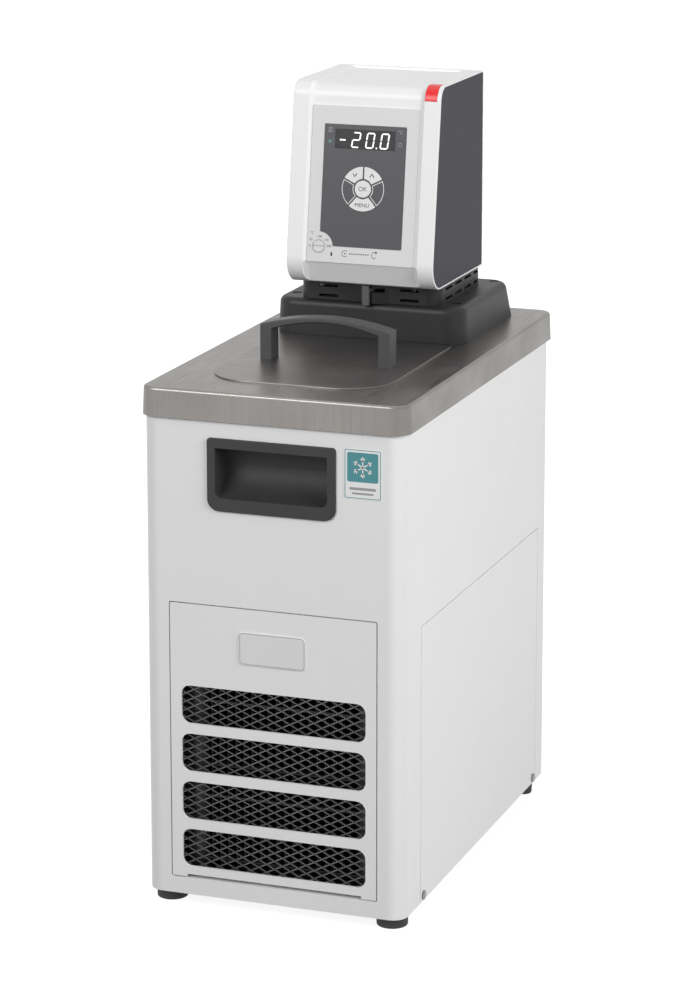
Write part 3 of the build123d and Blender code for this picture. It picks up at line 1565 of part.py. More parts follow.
# Pump housing: flange under the head base, hollow column, volute with a spout
with BuildPart() as pump_housing:
    with BuildSketch(Plane.XY.offset(plinth_top)):
        with Locations((0, pump_y)):
            Circle(column_flange_radius)
    extrude(amount=-column_flange)
    with BuildSketch(Plane.XY.offset(volute_top)):
        with Locations((0, pump_y)):
            Circle(column_radius)
    extrude(amount=plinth_top - volute_top)
    with BuildSketch(Plane.XY.offset(volute_bottom)):
        with Locations((0, pump_y)):
            Circle(volute_radius)
    extrude(amount=volute_height)
    with BuildSketch(Plane.XY.offset(volute_bottom)):
        with Locations((port_x, port_drop_y)):
            Circle(spout_radius)
        with Locations((port_x / 2 + volute_wall, port_drop_y)):
            Rectangle(port_x - 2 * volute_wall, 2 * spout_radius)
    extrude(amount=volute_height - volute_wall)
    with BuildSketch(Plane.XY.offset(volute_bottom)):
        with Locations((port_x, port_drop_y)):
            Circle(spout_radius)
    extrude(amount=volute_height + spout_rise)
    with BuildSketch(Plane.XY.offset(volute_top)):
        with Locations((0, pump_y)):
            Circle(column_radius - column_wall)
    extrude(amount=plinth_top - volute_top, mode=Mode.SUBTRACT)
    with BuildSketch(Plane.XY.offset(volute_bottom + volute_wall)):
        with Locations((0, pump_y)):
            Circle(volute_radius - volute_wall)
    extrude(amount=volute_height - 2 * volute_wall, mode=Mode.SUBTRACT)
    with BuildSketch(Plane.XY.offset(volute_bottom)):
        with Locations((0, pump_y)):
            Circle(volute_inlet)
    extrude(amount=volute_wall, mode=Mode.SUBTRACT)
    with BuildSketch(Plane.XY.offset(volute_top)):
        with Locations((0, pump_y)):
            Circle(shaft_radius + moving_gap)
    extrude(amount=-volute_wall, mode=Mode.SUBTRACT)
    with BuildSketch(Plane.XY.offset(volute_bottom + volute_wall)):
        with Locations((port_x, port_drop_y)):
            Circle(port_tube_bore)
        with Locations((port_x / 2 + volute_wall, port_drop_y)):
            Rectangle(port_x - 2 * volute_wall, 2 * port_tube_bore)
    extrude(amount=2 * port_tube_bore, mode=Mode.SUBTRACT)
    with BuildSketch(Plane.XY.offset(volute_bottom + volute_wall)):
        with Locations((port_x, port_drop_y)):
            Circle(port_tube_bore)
    extrude(amount=volute_height, mode=Mode.SUBTRACT)
save(pump_housing.part, "pump_housing")

# Heater: one bent tube, its two legs up through the head base
heater_low = bath_floor + heater_rise
stem_end_z = base_floor + stem_top
with BuildLine() as heater_line:
    FilletPolyline(
        (-heater_width / 2, heater_rear, stem_end_z),
        (-heater_width / 2, heater_rear, heater_low),
        (-heater_width / 2, heater_front, heater_low),
        (heater_width / 2, heater_front, heater_low),
        (heater_width / 2, heater_rear, heater_low),
        (heater_width / 2, heater_rear, stem_end_z),
        radius=heater_bend,
    )
with BuildPart() as heater_coil:
    add(tube(heater_line.line, heater_tube))
    with BuildSketch(Plane.XY.offset(base_floor)):
        with Locations(*[(sx * heater_width / 2, heater_rear) for sx in (-1, 1)]):
            Circle(heater_tube + collar_extra)
    extrude(amount=collar_height)
save(heater_coil.part, "heater_coil")

with BuildPart() as temperature_probe:
    with BuildSketch(Plane.XY.offset(plinth_top - probe_drop)):
        with Locations((probe_x, sensor_y)):
            Circle(probe_radius)
    extrude(amount=stem_end_z - plinth_top + probe_drop)
    with BuildSketch(Plane.XY.offset(base_floor)):
        with Locations((probe_x, sensor_y)):
            Circle(probe_radius + collar_extra)
    extrude(amount=collar_height)
save(temperature_probe.part, "temperature_probe")

sensor_low = plinth_top - sensor_drop
with BuildPart() as level_sensor:
    with BuildSketch(Plane.XY.offset(sensor_low)):
        with Locations((sensor_x, sensor_y)):
            Circle(sensor_stem)
    extrude(amount=stem_end_z - sensor_low)
    for height in (sensor_low, base_floor):
        with BuildSketch(Plane.XY.offset(height)):
            with Locations((sensor_x, sensor_y)):
                Circle(sensor_stem + collar_extra)
        extrude(amount=collar_height)
save(level_sensor.part, "level_sensor")

with BuildPart() as level_float:
    with BuildSketch(Plane.XY.offset(sensor_low + collar_height + moving_gap)):
        with Locations((sensor_x, sensor_y)):
            Circle(float_radius)
    extrude(amount=float_height)
    fillet(level_float.edges().filter_by(GeomType.CIRCLE), 1.5)
    with BuildSketch(Plane.XY.offset(sensor_low)):
        with Locations((sensor_x, sensor_y)):
            Circle(sensor_stem + moving_gap)
    extrude(amount=2 * float_height, mode=Mode.SUBTRACT)
save(level_float.part, "level_float")

# Cooling coil: rectangular helix in the bath, both ends out through the foam
half_coil = coil_width / 2
tail_end = foam_rear + coil_tail
coil_points = [(-half_coil, tail_end, coil_low), (-half_coil, coil_front, coil_low)]
for turn in range(coil_turns - 1):
    level = coil_low + turn * coil_pitch
    coil_points.append((half_coil, coil_front, level))
    coil_points.append((half_coil, coil_rear, level))
    coil_points.append((-half_coil, coil_rear, level + coil_pitch))
    coil_points.append((-half_coil, coil_front, level + coil_pitch))
coil_points.append((half_coil, coil_front, coil_high))
coil_points.append((half_coil, tail_end, coil_high))
with BuildLine() as coil_line:
    FilletPolyline(*coil_points, radius=coil_bend)
with BuildPart() as evaporator_coil:
    add(tube(coil_line.line, coil_tube))
save(evaporator_coil.part, "evaporator_coil")

# Drain: pipe from the tank floor to a tap through the rear panel
tap_start = cabinet_rear - tap_inside
with BuildLine() as drain_line:
    FilletPolyline(
        (0, drain_y, bath_floor - tank_sheet),
        (0, drain_y, bath_floor - drain_drop),
        (drain_x, drain_y, bath_floor - drain_drop),
        (drain_x, drain_y, drain_height),
        (drain_x, tap_start, drain_height),
        radius=drain_bend,
    )
with BuildPart() as drain_pipe:
    add(tube(drain_line.line, drain_tube))
    add(tube(drain_line.line, drain_bore), mode=Mode.SUBTRACT)
save(drain_pipe.part, "drain_pipe")

nozzle_y = cabinet_rear + nozzle_out
tap_top = drain_height + tap_radius + tap_boss
with BuildPart() as drain_tap_body:
    with BuildSketch(Plane.XZ.offset(-tap_start)):
        with Locations((drain_x, drain_height)):
            Circle(tap_radius)
    extrude(amount=-(tap_inside + tap_outside))
    with BuildSketch(Plane.XY.offset(drain_height)):
        with Locations((drain_x, nozzle_y)):
            Circle(nozzle_radius)
    extrude(amount=-(tap_radius + nozzle_length))
    with BuildSketch(Plane.XY.offset(drain_height)):
        with Locations((drain_x, nozzle_y)):
            Circle(nozzle_shoulder_radius)
    extrude(amount=-(tap_radius + nozzle_shoulder))
    with BuildSketch(Plane.XY.offset(drain_height)):
        with Locations((drain_x, nozzle_y)):
            Circle(tap_boss_radius)
    extrude(amount=tap_radius + tap_boss)
    with BuildSketch(Plane.XZ.offset(-tap_start)):
        with Locations((drain_x, drain_height)):
            Circle(tap_bore)
    extrude(amount=-(tap_inside + nozzle_out), mode=Mode.SUBTRACT)
    with BuildSketch(Plane.XY.offset(drain_height)):
        with Locations((drain_x, nozzle_y)):
            Circle(nozzle_bore)
    extrude(amount=-(tap_radius + nozzle_length), mode=Mode.SUBTRACT)
    with BuildSketch(Plane.XY.offset(tap_top)):
        with Locations((drain_x, nozzle_y)):
            Circle(knob_spindle + bearing_gap)
    extrude(amount=-(knob_height + moving_gap), mode=Mode.SUBTRACT)
save(drain_tap_body.part, "drain_tap_body")

with BuildPart() as drain_tap_knob:
    with BuildSketch(Plane.XY.offset(tap_top + moving_gap)):
        with Locations((drain_x, nozzle_y)):
            Circle(knob_radius)
        with Locations((drain_x + knob_reach / 2, nozzle_y)):
            SlotOverall(knob_reach + knob_radius, knob_radius)
    extrude(amount=knob_height)
    with BuildSketch(Plane.XY.offset(tap_top + moving_gap)):
        with Locations((drain_x, nozzle_y)):
            Circle(knob_spindle)
    extrude(amount=-knob_height)
save(drain_tap_knob.part, "drain_tap_knob")

# Compressor: welded can on a plate, carried by four rubber mounts
plate_low = floor_top + mount_height
can_low = plate_low + compressor_plate
mount_places = [
    (compressor_x + sx * mount_x, compressor_y + sy * mount_y) for sx in (-1, 1) for sy in (-1, 1)
]
with BuildPart() as compressor:
    with BuildSketch(Plane.XY.offset(can_low)):
        with Locations((compressor_x, compressor_y)):
            Circle(compressor_radius)
    extrude(amount=compressor_height)
    fillet(compressor.faces().sort_by(Axis.Z)[-1].edges(), compressor_dome)
    with BuildSketch(Plane.XY.offset(plate_low)):
        with Locations((compressor_x, compressor_y)):
            RectangleRounded(2 * (mount_x + plate_margin), 2 * (mount_y + plate_margin), plate_margin)
    extrude(amount=compressor_plate)
save(compressor.part, "compressor")

with BuildPart() as compressor_mounts:
    with BuildSketch(Plane.XY.offset(floor_top)):
        with Locations(*mount_places):
            Circle(mount_radius - mount_waist)
    extrude(amount=mount_height)
    for height in (floor_top, plate_low - mount_height / 3):
        with BuildSketch(Plane.XY.offset(height)):
            with Locations(*mount_places):
                Circle(mount_radius)
        extrude(amount=mount_height / 3)
save(compressor_mounts.part, "compressor_mounts")


def can_space():
    """The compressor can's own cylinder, to cut what meets its wall."""
    with BuildPart(mode=Mode.PRIVATE) as can:
        with BuildSketch(Plane.XY.offset(can_low)):
            with Locations((compressor_x, compressor_y)):
                Circle(compressor_radius)
        extrude(amount=compressor_height)
    return can.part


with BuildPart() as compressor_terminal_cover:
    with BuildSketch(Plane.YZ.offset(compressor_x)):
        with Locations((compressor_y, can_low + relay_rise)):
            RectangleRounded(relay_width, relay_height, 3)
    extrude(amount=compressor_radius + relay_depth)
    add(can_space(), mode=Mode.SUBTRACT)
save(compressor_terminal_cover.part, "compressor_terminal_cover")

# Condenser: two upright headers, flat tubes between them and thin fins across
condenser_front = cabinet_front + frame_depth + cabinet_sheet + condenser_gap
condenser_rear = condenser_front + 2 * header_radius
condenser_mid = (condenser_front + condenser_rear) / 2
header_x = condenser_width / 2 - header_radius
core_low = floor_top + condenser_height / 14
core_high = floor_top + condenser_height
core_mid = (core_low + core_high) / 2
tube_pitch = (core_high - core_low - 2 * header_radius) / (flat_tube_count - 1)
fin_pitch = 2 * (header_x - header_radius) / fin_count
with BuildPart() as condenser:
    with BuildSketch(Plane.XY.offset(floor_top)):
        with Locations(*[(sx * header_x, condenser_mid) for sx in (-1, 1)]):
            Circle(header_radius)
    extrude(amount=condenser_height)
    with BuildSketch(Plane.XZ.offset(-condenser_front - fin_inset)):
        with Locations((0, core_mid)):
            with GridLocations(1, tube_pitch, 1, flat_tube_count):
                Rectangle(2 * header_x, flat_tube)
            with GridLocations(fin_pitch, 1, fin_count, 1):
                Rectangle(fin_sheet, core_high - core_low - header_radius)
    extrude(amount=-2 * (header_radius - fin_inset))
save(condenser.part, "condenser")

# Fan shroud: box behind the condenser, round duct, struts and the motor ring
plate_front = condenser_rear + shroud_depth
duct_end = plate_front + shroud_sheet + duct_length
strut_front = duct_end - strut_sheet
fan_centre = (0, core_mid)
with BuildPart() as fan_shroud:
    with BuildSketch(Plane.XZ.offset(-condenser_rear)):
        with Locations((0, (floor_top + core_high) / 2)):
            Rectangle(condenser_width, core_high - floor_top)
    extrude(amount=-(shroud_depth + shroud_sheet))
    with BuildSketch(Plane.XZ.offset(-condenser_rear)):
        with Locations((0, (floor_top + core_high) / 2)):
            Rectangle(condenser_width - 2 * shroud_rim, core_high - floor_top - 2 * shroud_rim)
    extrude(amount=-shroud_depth, mode=Mode.SUBTRACT)
    with BuildSketch(Plane.XZ.offset(-plate_front)):
        with Locations(fan_centre):
            Circle(duct_radius + shroud_sheet)
    extrude(amount=-(shroud_sheet + duct_length))
    with BuildSketch(Plane.XZ.offset(-plate_front)):
        with Locations(fan_centre):
            Circle(duct_radius)
    extrude(amount=-(shroud_sheet + duct_length), mode=Mode.SUBTRACT)
    with BuildSketch(Plane.XZ.offset(-strut_front)):
        with Locations(fan_centre):
            Circle(fan_motor_radius + shroud_sheet + assembly_gap)
            with PolarLocations((duct_radius + fan_motor_radius) / 2, strut_count, 45):
                Rectangle(duct_radius - fan_motor_radius + 1, strut_width)
            Circle(fan_motor_radius + assembly_gap, mode=Mode.SUBTRACT)
    extrude(amount=-strut_sheet)
save(fan_shroud.part, "fan_shroud")

with BuildPart() as fan_motor:
    with BuildSketch(Plane.XZ.offset(-strut_front)):
        with Locations(fan_centre):
            Circle(fan_motor_radius)
    extrude(amount=-fan_motor_length)
    fillet(fan_motor.faces().sort_by(Axis.Y)[-1].edges(), 4)
    with BuildSketch(Plane.XZ.offset(-strut_front)):
        with Locations(fan_centre):
            Circle(shaft_radius + bearing_gap)
    extrude(amount=-(shaft_grip + moving_gap), mode=Mode.SUBTRACT)
save(fan_motor.part, "fan_motor")


def blade_section(distance, chord, pitch):
    """Thin rectangle of a fan blade at a distance from the hub, turned by its pitch."""
    turn = radians(pitch)
    middle = (distance, strut_front - moving_gap - hub_length / 2 - blade_lead, core_mid)
    with BuildSketch(
        Plane(origin=middle, x_dir=(0, sin(turn), cos(turn)), z_dir=(1, 0, 0))
    ) as section:
        Rectangle(chord, blade_sheet)
    return section.sketch


with BuildPart() as fan_blade:
    loft(
        [
            blade_section(fan_hub - 2, blade_root_chord, blade_pitch_root),
            blade_section(fan_radius, blade_tip_chord, blade_pitch_tip),
        ]
    )
fan_axis = Axis((0, 0, core_mid), (0, 1, 0))
with BuildPart() as fan_rotor:
    with BuildSketch(Plane.XZ.offset(-(strut_front - moving_gap))):
        with Locations(fan_centre):
            Circle(fan_hub)
    extrude(amount=hub_length)
    fillet(fan_rotor.faces().sort_by(Axis.Y)[0].edges(), 3)
    for n in range(fan_blades):
        add(fan_blade.part.rotate(fan_axis, n * 360 / fan_blades))
    with BuildSketch(Plane.XZ.offset(-(strut_front - moving_gap))):
        with Locations(fan_centre):
            Circle(shaft_radius)
    extrude(amount=-(shaft_grip + moving_gap))
save(fan_rotor.part, "fan_rotor")


def bent_line(*points):
    """Copper line through the given points with even bends."""
    with BuildLine() as line:
        FilletPolyline(*points, radius=line_bend)
    return tube(line.line, line_tube)


# Copper lines: hot gas to the condenser, liquid through the filter dryer, cold gas back
with BuildPart() as discharge_line:
    add(
        bent_line(
            (compressor_x - compressor_radius + 2, compressor_y, discharge_height),
            (discharge_x, compressor_y, discharge_height),
            (discharge_x, compressor_y, line_height),
            (discharge_x, condenser_mid, line_height),
            (-header_x, condenser_mid, line_height),
            (-header_x, condenser_mid, core_high),
        )
    )
    add(can_space(), mode=Mode.SUBTRACT)
save(discharge_line.part, "discharge_line")

with BuildPart() as suction_line:
    add(
        bent_line(
            (half_coil, tail_end, coil_high),
            (half_coil, rear_line_y, coil_high),
            (half_coil, rear_line_y, suction_height),
            (compressor_x, rear_line_y, suction_height),
            (compressor_x, compressor_y + compressor_radius - 2, suction_height),
        )
    )
    add(can_space(), mode=Mode.SUBTRACT)
save(suction_line.part, "suction_line")

with BuildPart() as filter_dryer:
    add(
        bent_line(
            (header_x, condenser_mid, core_high),
            (header_x, condenser_mid, line_height),
            (dryer_x, condenser_mid, line_height),
            (dryer_x, tail_end, line_height),
            (-half_coil, tail_end, line_height),
            (-half_coil, rear_line_y, line_height),
            (-half_coil, rear_line_y, coil_low),
            (-half_coil, tail_end, coil_low),
        )
    )
    with BuildSketch(Plane.XZ.offset(-dryer_y)):
        with Locations((dryer_x, line_height)):
            Circle(dryer_radius)
    extrude(amount=-dryer_length)
    fillet(
        filter_dryer.edges().filter_by(GeomType.CIRCLE).group_by(SortBy.LENGTH)[-1], 2
    )
save(filter_dryer.part, "filter_dryer")
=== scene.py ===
"""Looks of the bench-top refrigerated circulator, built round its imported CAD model."""

import math

import bpy
import numpy as np
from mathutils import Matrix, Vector


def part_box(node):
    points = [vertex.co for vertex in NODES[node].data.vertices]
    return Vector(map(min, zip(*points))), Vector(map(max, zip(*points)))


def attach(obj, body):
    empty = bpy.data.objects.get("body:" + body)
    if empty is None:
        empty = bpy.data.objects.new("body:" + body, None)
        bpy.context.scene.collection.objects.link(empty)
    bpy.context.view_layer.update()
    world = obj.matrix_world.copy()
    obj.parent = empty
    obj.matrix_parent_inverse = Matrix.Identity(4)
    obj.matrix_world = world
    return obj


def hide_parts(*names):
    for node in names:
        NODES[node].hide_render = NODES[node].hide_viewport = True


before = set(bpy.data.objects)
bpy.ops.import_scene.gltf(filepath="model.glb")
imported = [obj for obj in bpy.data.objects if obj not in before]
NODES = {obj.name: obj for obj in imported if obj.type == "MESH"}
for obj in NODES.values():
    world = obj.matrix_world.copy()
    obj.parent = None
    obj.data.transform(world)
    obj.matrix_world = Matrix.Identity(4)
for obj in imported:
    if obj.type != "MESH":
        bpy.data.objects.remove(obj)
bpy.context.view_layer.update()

bl_info = {
    "name": "Refrigerated circulator looks",
    "version": (1, 0, 0),
    "blender": (4, 5, 0),
    "location": "3D View > Sidebar > Circulator",
    "description": "Finishes, printed legends, vent mesh and studio for the circulator",
    "category": "Object",
}

MM = 0.001
LEAN = math.radians(8.03)  # of the head's front, backwards
HEAD_SETBACK = 2.8  # from the middle of the deck to the housing's front, in millimetres
RECESS_DEPTH = 2.0  # of the housing's sunk middle, square to its lean
WHITE = (1.0, 1.0, 1.0, 1.0)
GRAIN_PATCH = 60.0  # size of the soft patches in each finish, in millimetres

# Heights of printed work over the plane that carries it, in millimetres
LIFT = 0.03  # thickness of the ink
DIGIT_RISE = 0.7
OVERLAY_RISE = 0.8
PANEL_RISE = 0.9
KEY_RISE = 1.2
BADGE_RISE = 0.8
LABEL_RISE = 0.3


def linear(code):
    """Linear RGBA of an sRGB hex colour such as #4E4D53."""
    parts = [int(code[i : i + 2], 16) / 255 for i in (1, 3, 5)]
    light = (c / 12.92 if c <= 0.04045 else ((c + 0.055) / 1.055) ** 2.4 for c in parts)
    return tuple(light) + (1.0,)


# Planes that carry printed work: origin, right, up and outward normal, in millimetres
HEAD_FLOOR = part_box("head_housing")[0].z / MM
HEAD_FRONT = HEAD_SETBACK + RECESS_DEPTH / math.cos(LEAN)
LEANING_FRONT = (
    np.array((0.0, HEAD_FRONT, HEAD_FLOOR)),
    np.array((1.0, 0.0, 0.0)),
    np.array((0.0, math.sin(LEAN), math.cos(LEAN))),
    np.array((0.0, -math.cos(LEAN), math.sin(LEAN))),
)
CABINET_FRONT = (
    np.array((0.0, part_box("cabinet_shell")[0].y / MM, 0.0)),
    np.array((1.0, 0.0, 0.0)),
    np.array((0.0, 0.0, 1.0)),
    np.array((0.0, -1.0, 0.0)),
)


def on_plane(plane, points, rise):
    """Flat points (x, up) carried onto a plane, at a height above it."""
    origin, right, up, normal = plane
    points = np.asarray(points, float)
    return (origin + points[:, :1] * right + points[:, 1:2] * up + rise * normal) * MM


def riding(mesh, coating, body):
    """A mesh as one finished piece at the world origin, riding its body."""
    mesh.materials.clear()
    mesh.materials.append(bpy.data.materials[coating])
    mesh.update()
    piece = bpy.data.objects.new(mesh.name, mesh)
    bpy.context.scene.collection.objects.link(piece)
    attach(piece, body)
    return piece


def new_piece(name, verts, faces, coating, body):
    """One finished piece from its vertices in metres and its flat faces."""
    mesh = bpy.data.meshes.new(name)
    mesh.from_pydata(np.asarray(verts).tolist(), [], [list(map(int, f)) for f in faces])
    mesh.polygons.foreach_set("use_smooth", [False] * len(mesh.polygons))
    return riding(mesh, coating, body)


def inked(name, plane, shapes, rise, coating, body, slot):
    """Flat shapes as thin closed prisms: each outline is repeated LIFT higher and walled round."""
    verts, faces, start = [], [], 0
    for shape in shapes:
        shape = np.asarray(shape, float)
        count = len(shape)
        turned = np.roll(shape, -1, axis=0)
        if np.sum(shape[:, 0] * turned[:, 1] - turned[:, 0] * shape[:, 1]) < 0:
            shape = shape[::-1]
        verts.append(on_plane(plane, shape, rise))
        verts.append(on_plane(plane, shape, rise + LIFT))
        ring = np.arange(count)
        after = np.roll(ring, -1)
        faces.append(ring[::-1] + start)
        faces.append(ring + count + start)
        walls = np.stack([ring, after, after + count, ring + count], axis=1) + start
        faces.extend(walls)
        start += 2 * count
    return new_piece(name, np.concatenate(verts), faces, coating, body)


def loop_strips(outer, inner):
    """A closed band between two outlines of equal count, cut into quads."""
    outer, inner = np.asarray(outer, float), np.asarray(inner, float)
    return np.stack([outer, np.roll(outer, -1, axis=0), np.roll(inner, -1, axis=0), inner], axis=1)


def line_strip(points, width):
    """An open line of a width, cut into quads, each end square."""
    points = np.asarray(points, float)
    run = np.diff(points, axis=0)
    side = np.stack([-run[:, 1], run[:, 0]], axis=1)
    side /= np.linalg.norm(side, axis=1, keepdims=True) / (width / 2)
    corners = [points[:-1] + side, points[1:] + side, points[1:] - side, points[:-1] - side]
    return np.stack(corners, axis=1)


def direction(degrees):
    """Unit vector at an angle from the right, anticlockwise."""
    return np.array((math.cos(math.radians(degrees)), math.sin(math.radians(degrees))))


def arc(centre, radius, start, end, count=24):
    """Points on a circle between two angles in degrees."""
    angle = np.radians(np.linspace(start, end, count))
    x, y = centre[0] + radius * np.cos(angle), centre[1] + radius * np.sin(angle)
    return np.stack([x, y], axis=1)


def rounded(centre, width, height, radius, count=6):
    """Outline of a rounded rectangle, anticlockwise."""
    x, y = width / 2 - radius, height / 2 - radius
    corners = [(x, y, 0), (-x, y, 90), (-x, -y, 180), (x, -y, 270)]
    return np.concatenate(
        [arc((centre[0] + cx, centre[1] + cy), radius, a, a + 90, count) for cx, cy, a in corners]
    )


def sector(middle, start, end, inner, outer, gap):
    """Outline of a ring's sector, whose two ends stand back by a gap from their angles."""
    near, far = math.degrees(gap / inner), math.degrees(gap / outer)
    return np.concatenate(
        [
            arc(middle, outer, start + far, end - far, 20),
            arc(middle, inner, end - near, start + near, 20),
        ]
    )


def lettering(name, text, plane, place, size, rise, coating, body, slot):
    """Plain sans lettering as a thin solid, its middle at a place on the plane."""
    font = bpy.data.curves.new(name, "FONT")
    font.body = text
    font.size = size
    font.align_x = "CENTER"
    font.align_y = "CENTER"
    font.extrude = LIFT / 2
    holder = bpy.data.objects.new(name + "_outline", font)
    bpy.context.scene.collection.objects.link(holder)
    bpy.context.view_layer.update()
    solved = holder.evaluated_get(bpy.context.evaluated_depsgraph_get())
    mesh = bpy.data.meshes.new_from_object(solved)
    bpy.data.objects.remove(holder)
    points = np.empty(len(mesh.vertices) * 3)
    mesh.vertices.foreach_get("co", points)
    points = points.reshape(-1, 3)
    points[:, :2] -= (points[:, :2].min(0) + points[:, :2].max(0)) / 2
    flat = points[:, :2] + np.array(place)
    moved = on_plane(plane, flat, rise + LIFT / 2) + points[:, 2:] * plane[3] * MM
    mesh.vertices.foreach_set("co", moved.ravel())
    mesh.name = name
    return riding(mesh, coating, body)


def add_node(tree, kind, values=None, links=None, **settings):
    """One shader node with its settings, socket values and incoming links."""
    node = tree.nodes.new(kind)
    for key, value in settings.items():
        setattr(node, key, value)
    for socket, value in (values or {}).items():
        node.inputs[socket].default_value = value
    for socket, source in (links or {}).items():
        tree.links.new(source, node.inputs[socket])
    return node


def finish(
    name,
    colour,
    roughness,
    metallic=0.0,
    ior=1.5,
    grain=0.8,
    relief=0.01,
    mottle=0.03,
    stretch=(1.0, 1.0, 1.0),
    wear=0.05,
    glow=0.0,
    specular=0.5,
):
    """A material with fine grain in its relief, soft patches in its colour and its roughness.

    grain is a size and relief the grain's height, both in millimetres. mottle and wear are how
    far colour and roughness drift, and stretch draws the grain out along an axis.
    A texture too fine to draw scatters the gloss, which specular below one half stands for.
    """
    material = bpy.data.materials.new(name)
    material.use_nodes = True
    tree = material.node_tree
    tree.nodes.clear()
    place = add_node(tree, "ShaderNodeTexCoord").outputs["Object"]
    drawn = add_node(tree, "ShaderNodeMapping", {"Scale": stretch}, {"Vector": place}).outputs[0]
    fine = add_node(
        tree, "ShaderNodeTexNoise", {"Scale": 1 / (grain * MM), "Detail": 2.0}, {"Vector": drawn}
    )
    broad = add_node(
        tree, "ShaderNodeTexNoise", {"Scale": 1 / (GRAIN_PATCH * MM), "Detail": 3.0}, {"Vector": place}
    )
    base = linear(colour)
    darker = tuple(c * (1 - 2 * mottle) for c in base[:3]) + (1.0,)
    lighter = tuple(min(1.0, c * (1 + mottle)) for c in base[:3]) + (1.0,)
    blend = add_node(
        tree,
        "ShaderNodeMath",
        {1: 0.5},
        {0: fine.outputs["Fac"], 2: broad.outputs["Fac"]},
        operation="MULTIPLY_ADD",
    )
    ramp = add_node(tree, "ShaderNodeValToRGB", links={"Fac": blend.outputs[0]})
    ramp.color_ramp.elements[0].position = 0.45
    ramp.color_ramp.elements[0].color = darker
    ramp.color_ramp.elements[1].color = lighter
    drift = add_node(
        tree,
        "ShaderNodeMapRange",
        {"From Min": 0.3, "From Max": 0.7, "To Min": roughness - wear, "To Max": roughness + wear},
        {"Value": fine.outputs["Fac"]},
    )
    bump = add_node(
        tree,
        "ShaderNodeBump",
        {"Strength": 1.0, "Distance": relief * MM},
        {"Height": fine.outputs["Fac"]},
    )
    values = {"Metallic": metallic}
    if metallic < 0.5:
        values["IOR"] = ior
        values["Specular IOR Level"] = specular
    shader = add_node(
        tree,
        "ShaderNodeBsdfPrincipled",
        values,
        {
            "Base Color": ramp.outputs["Color"],
            "Roughness": drift.outputs["Result"],
            "Normal": bump.outputs["Normal"],
        },
    )
    if glow:
        shader.inputs["Emission Color"].default_value = base
        shader.inputs["Emission Strength"].default_value = glow
    add_node(tree, "ShaderNodeOutputMaterial", links={"Surface": shader.outputs["BSDF"]})


class CirculatorSizes(bpy.types.PropertyGroup):
    """Sizes of what is added to the CAD model, in millimetres."""

    mesh_long: bpy.props.FloatProperty(
        name="Diamond width", description="Long pitch of the expanded metal", default=13.9
    )
    mesh_short: bpy.props.FloatProperty(
        name="Diamond height", description="Short pitch of the expanded metal", default=7.0
    )
    strand_width: bpy.props.FloatProperty(
        name="Strand width", description="Width of one strand of the mesh", default=1.0
    )
    strand_thick: bpy.props.FloatProperty(
        name="Strand thickness", description="Thickness of one strand of the mesh", default=0.7
    )
    digit_height: bpy.props.FloatProperty(
        name="Digit height", description="Height of the display's digits", default=13.6
    )
    digit_width: bpy.props.FloatProperty(
        name="Digit width", description="Width of one digit", default=7.6
    )
    segment: bpy.props.FloatProperty(
        name="Segment", description="Width of a digit's segment", default=1.25
    )


class CirculatorColours(bpy.types.PropertyGroup):
    """Main colours as sRGB hex codes."""

    cabinet: bpy.props.StringProperty(
        name="Cabinet", description="Powder coat of the cabinet", default="#EDEDED"
    )
    head: bpy.props.StringProperty(
        name="Head", description="Moulded head housing", default="#F3F3F3"
    )
    panel: bpy.props.StringProperty(
        name="Panel", description="Dark display panel", default="#38373D"
    )
    cover: bpy.props.StringProperty(
        name="Side cover", description="Dark side covers of the head", default="#403F45"
    )
    button: bpy.props.StringProperty(
        name="Power button", description="Red power button", default="#EE1C1E"
    )
    black: bpy.props.StringProperty(
        name="Plinth", description="Black mouldings", default="#232325"
    )


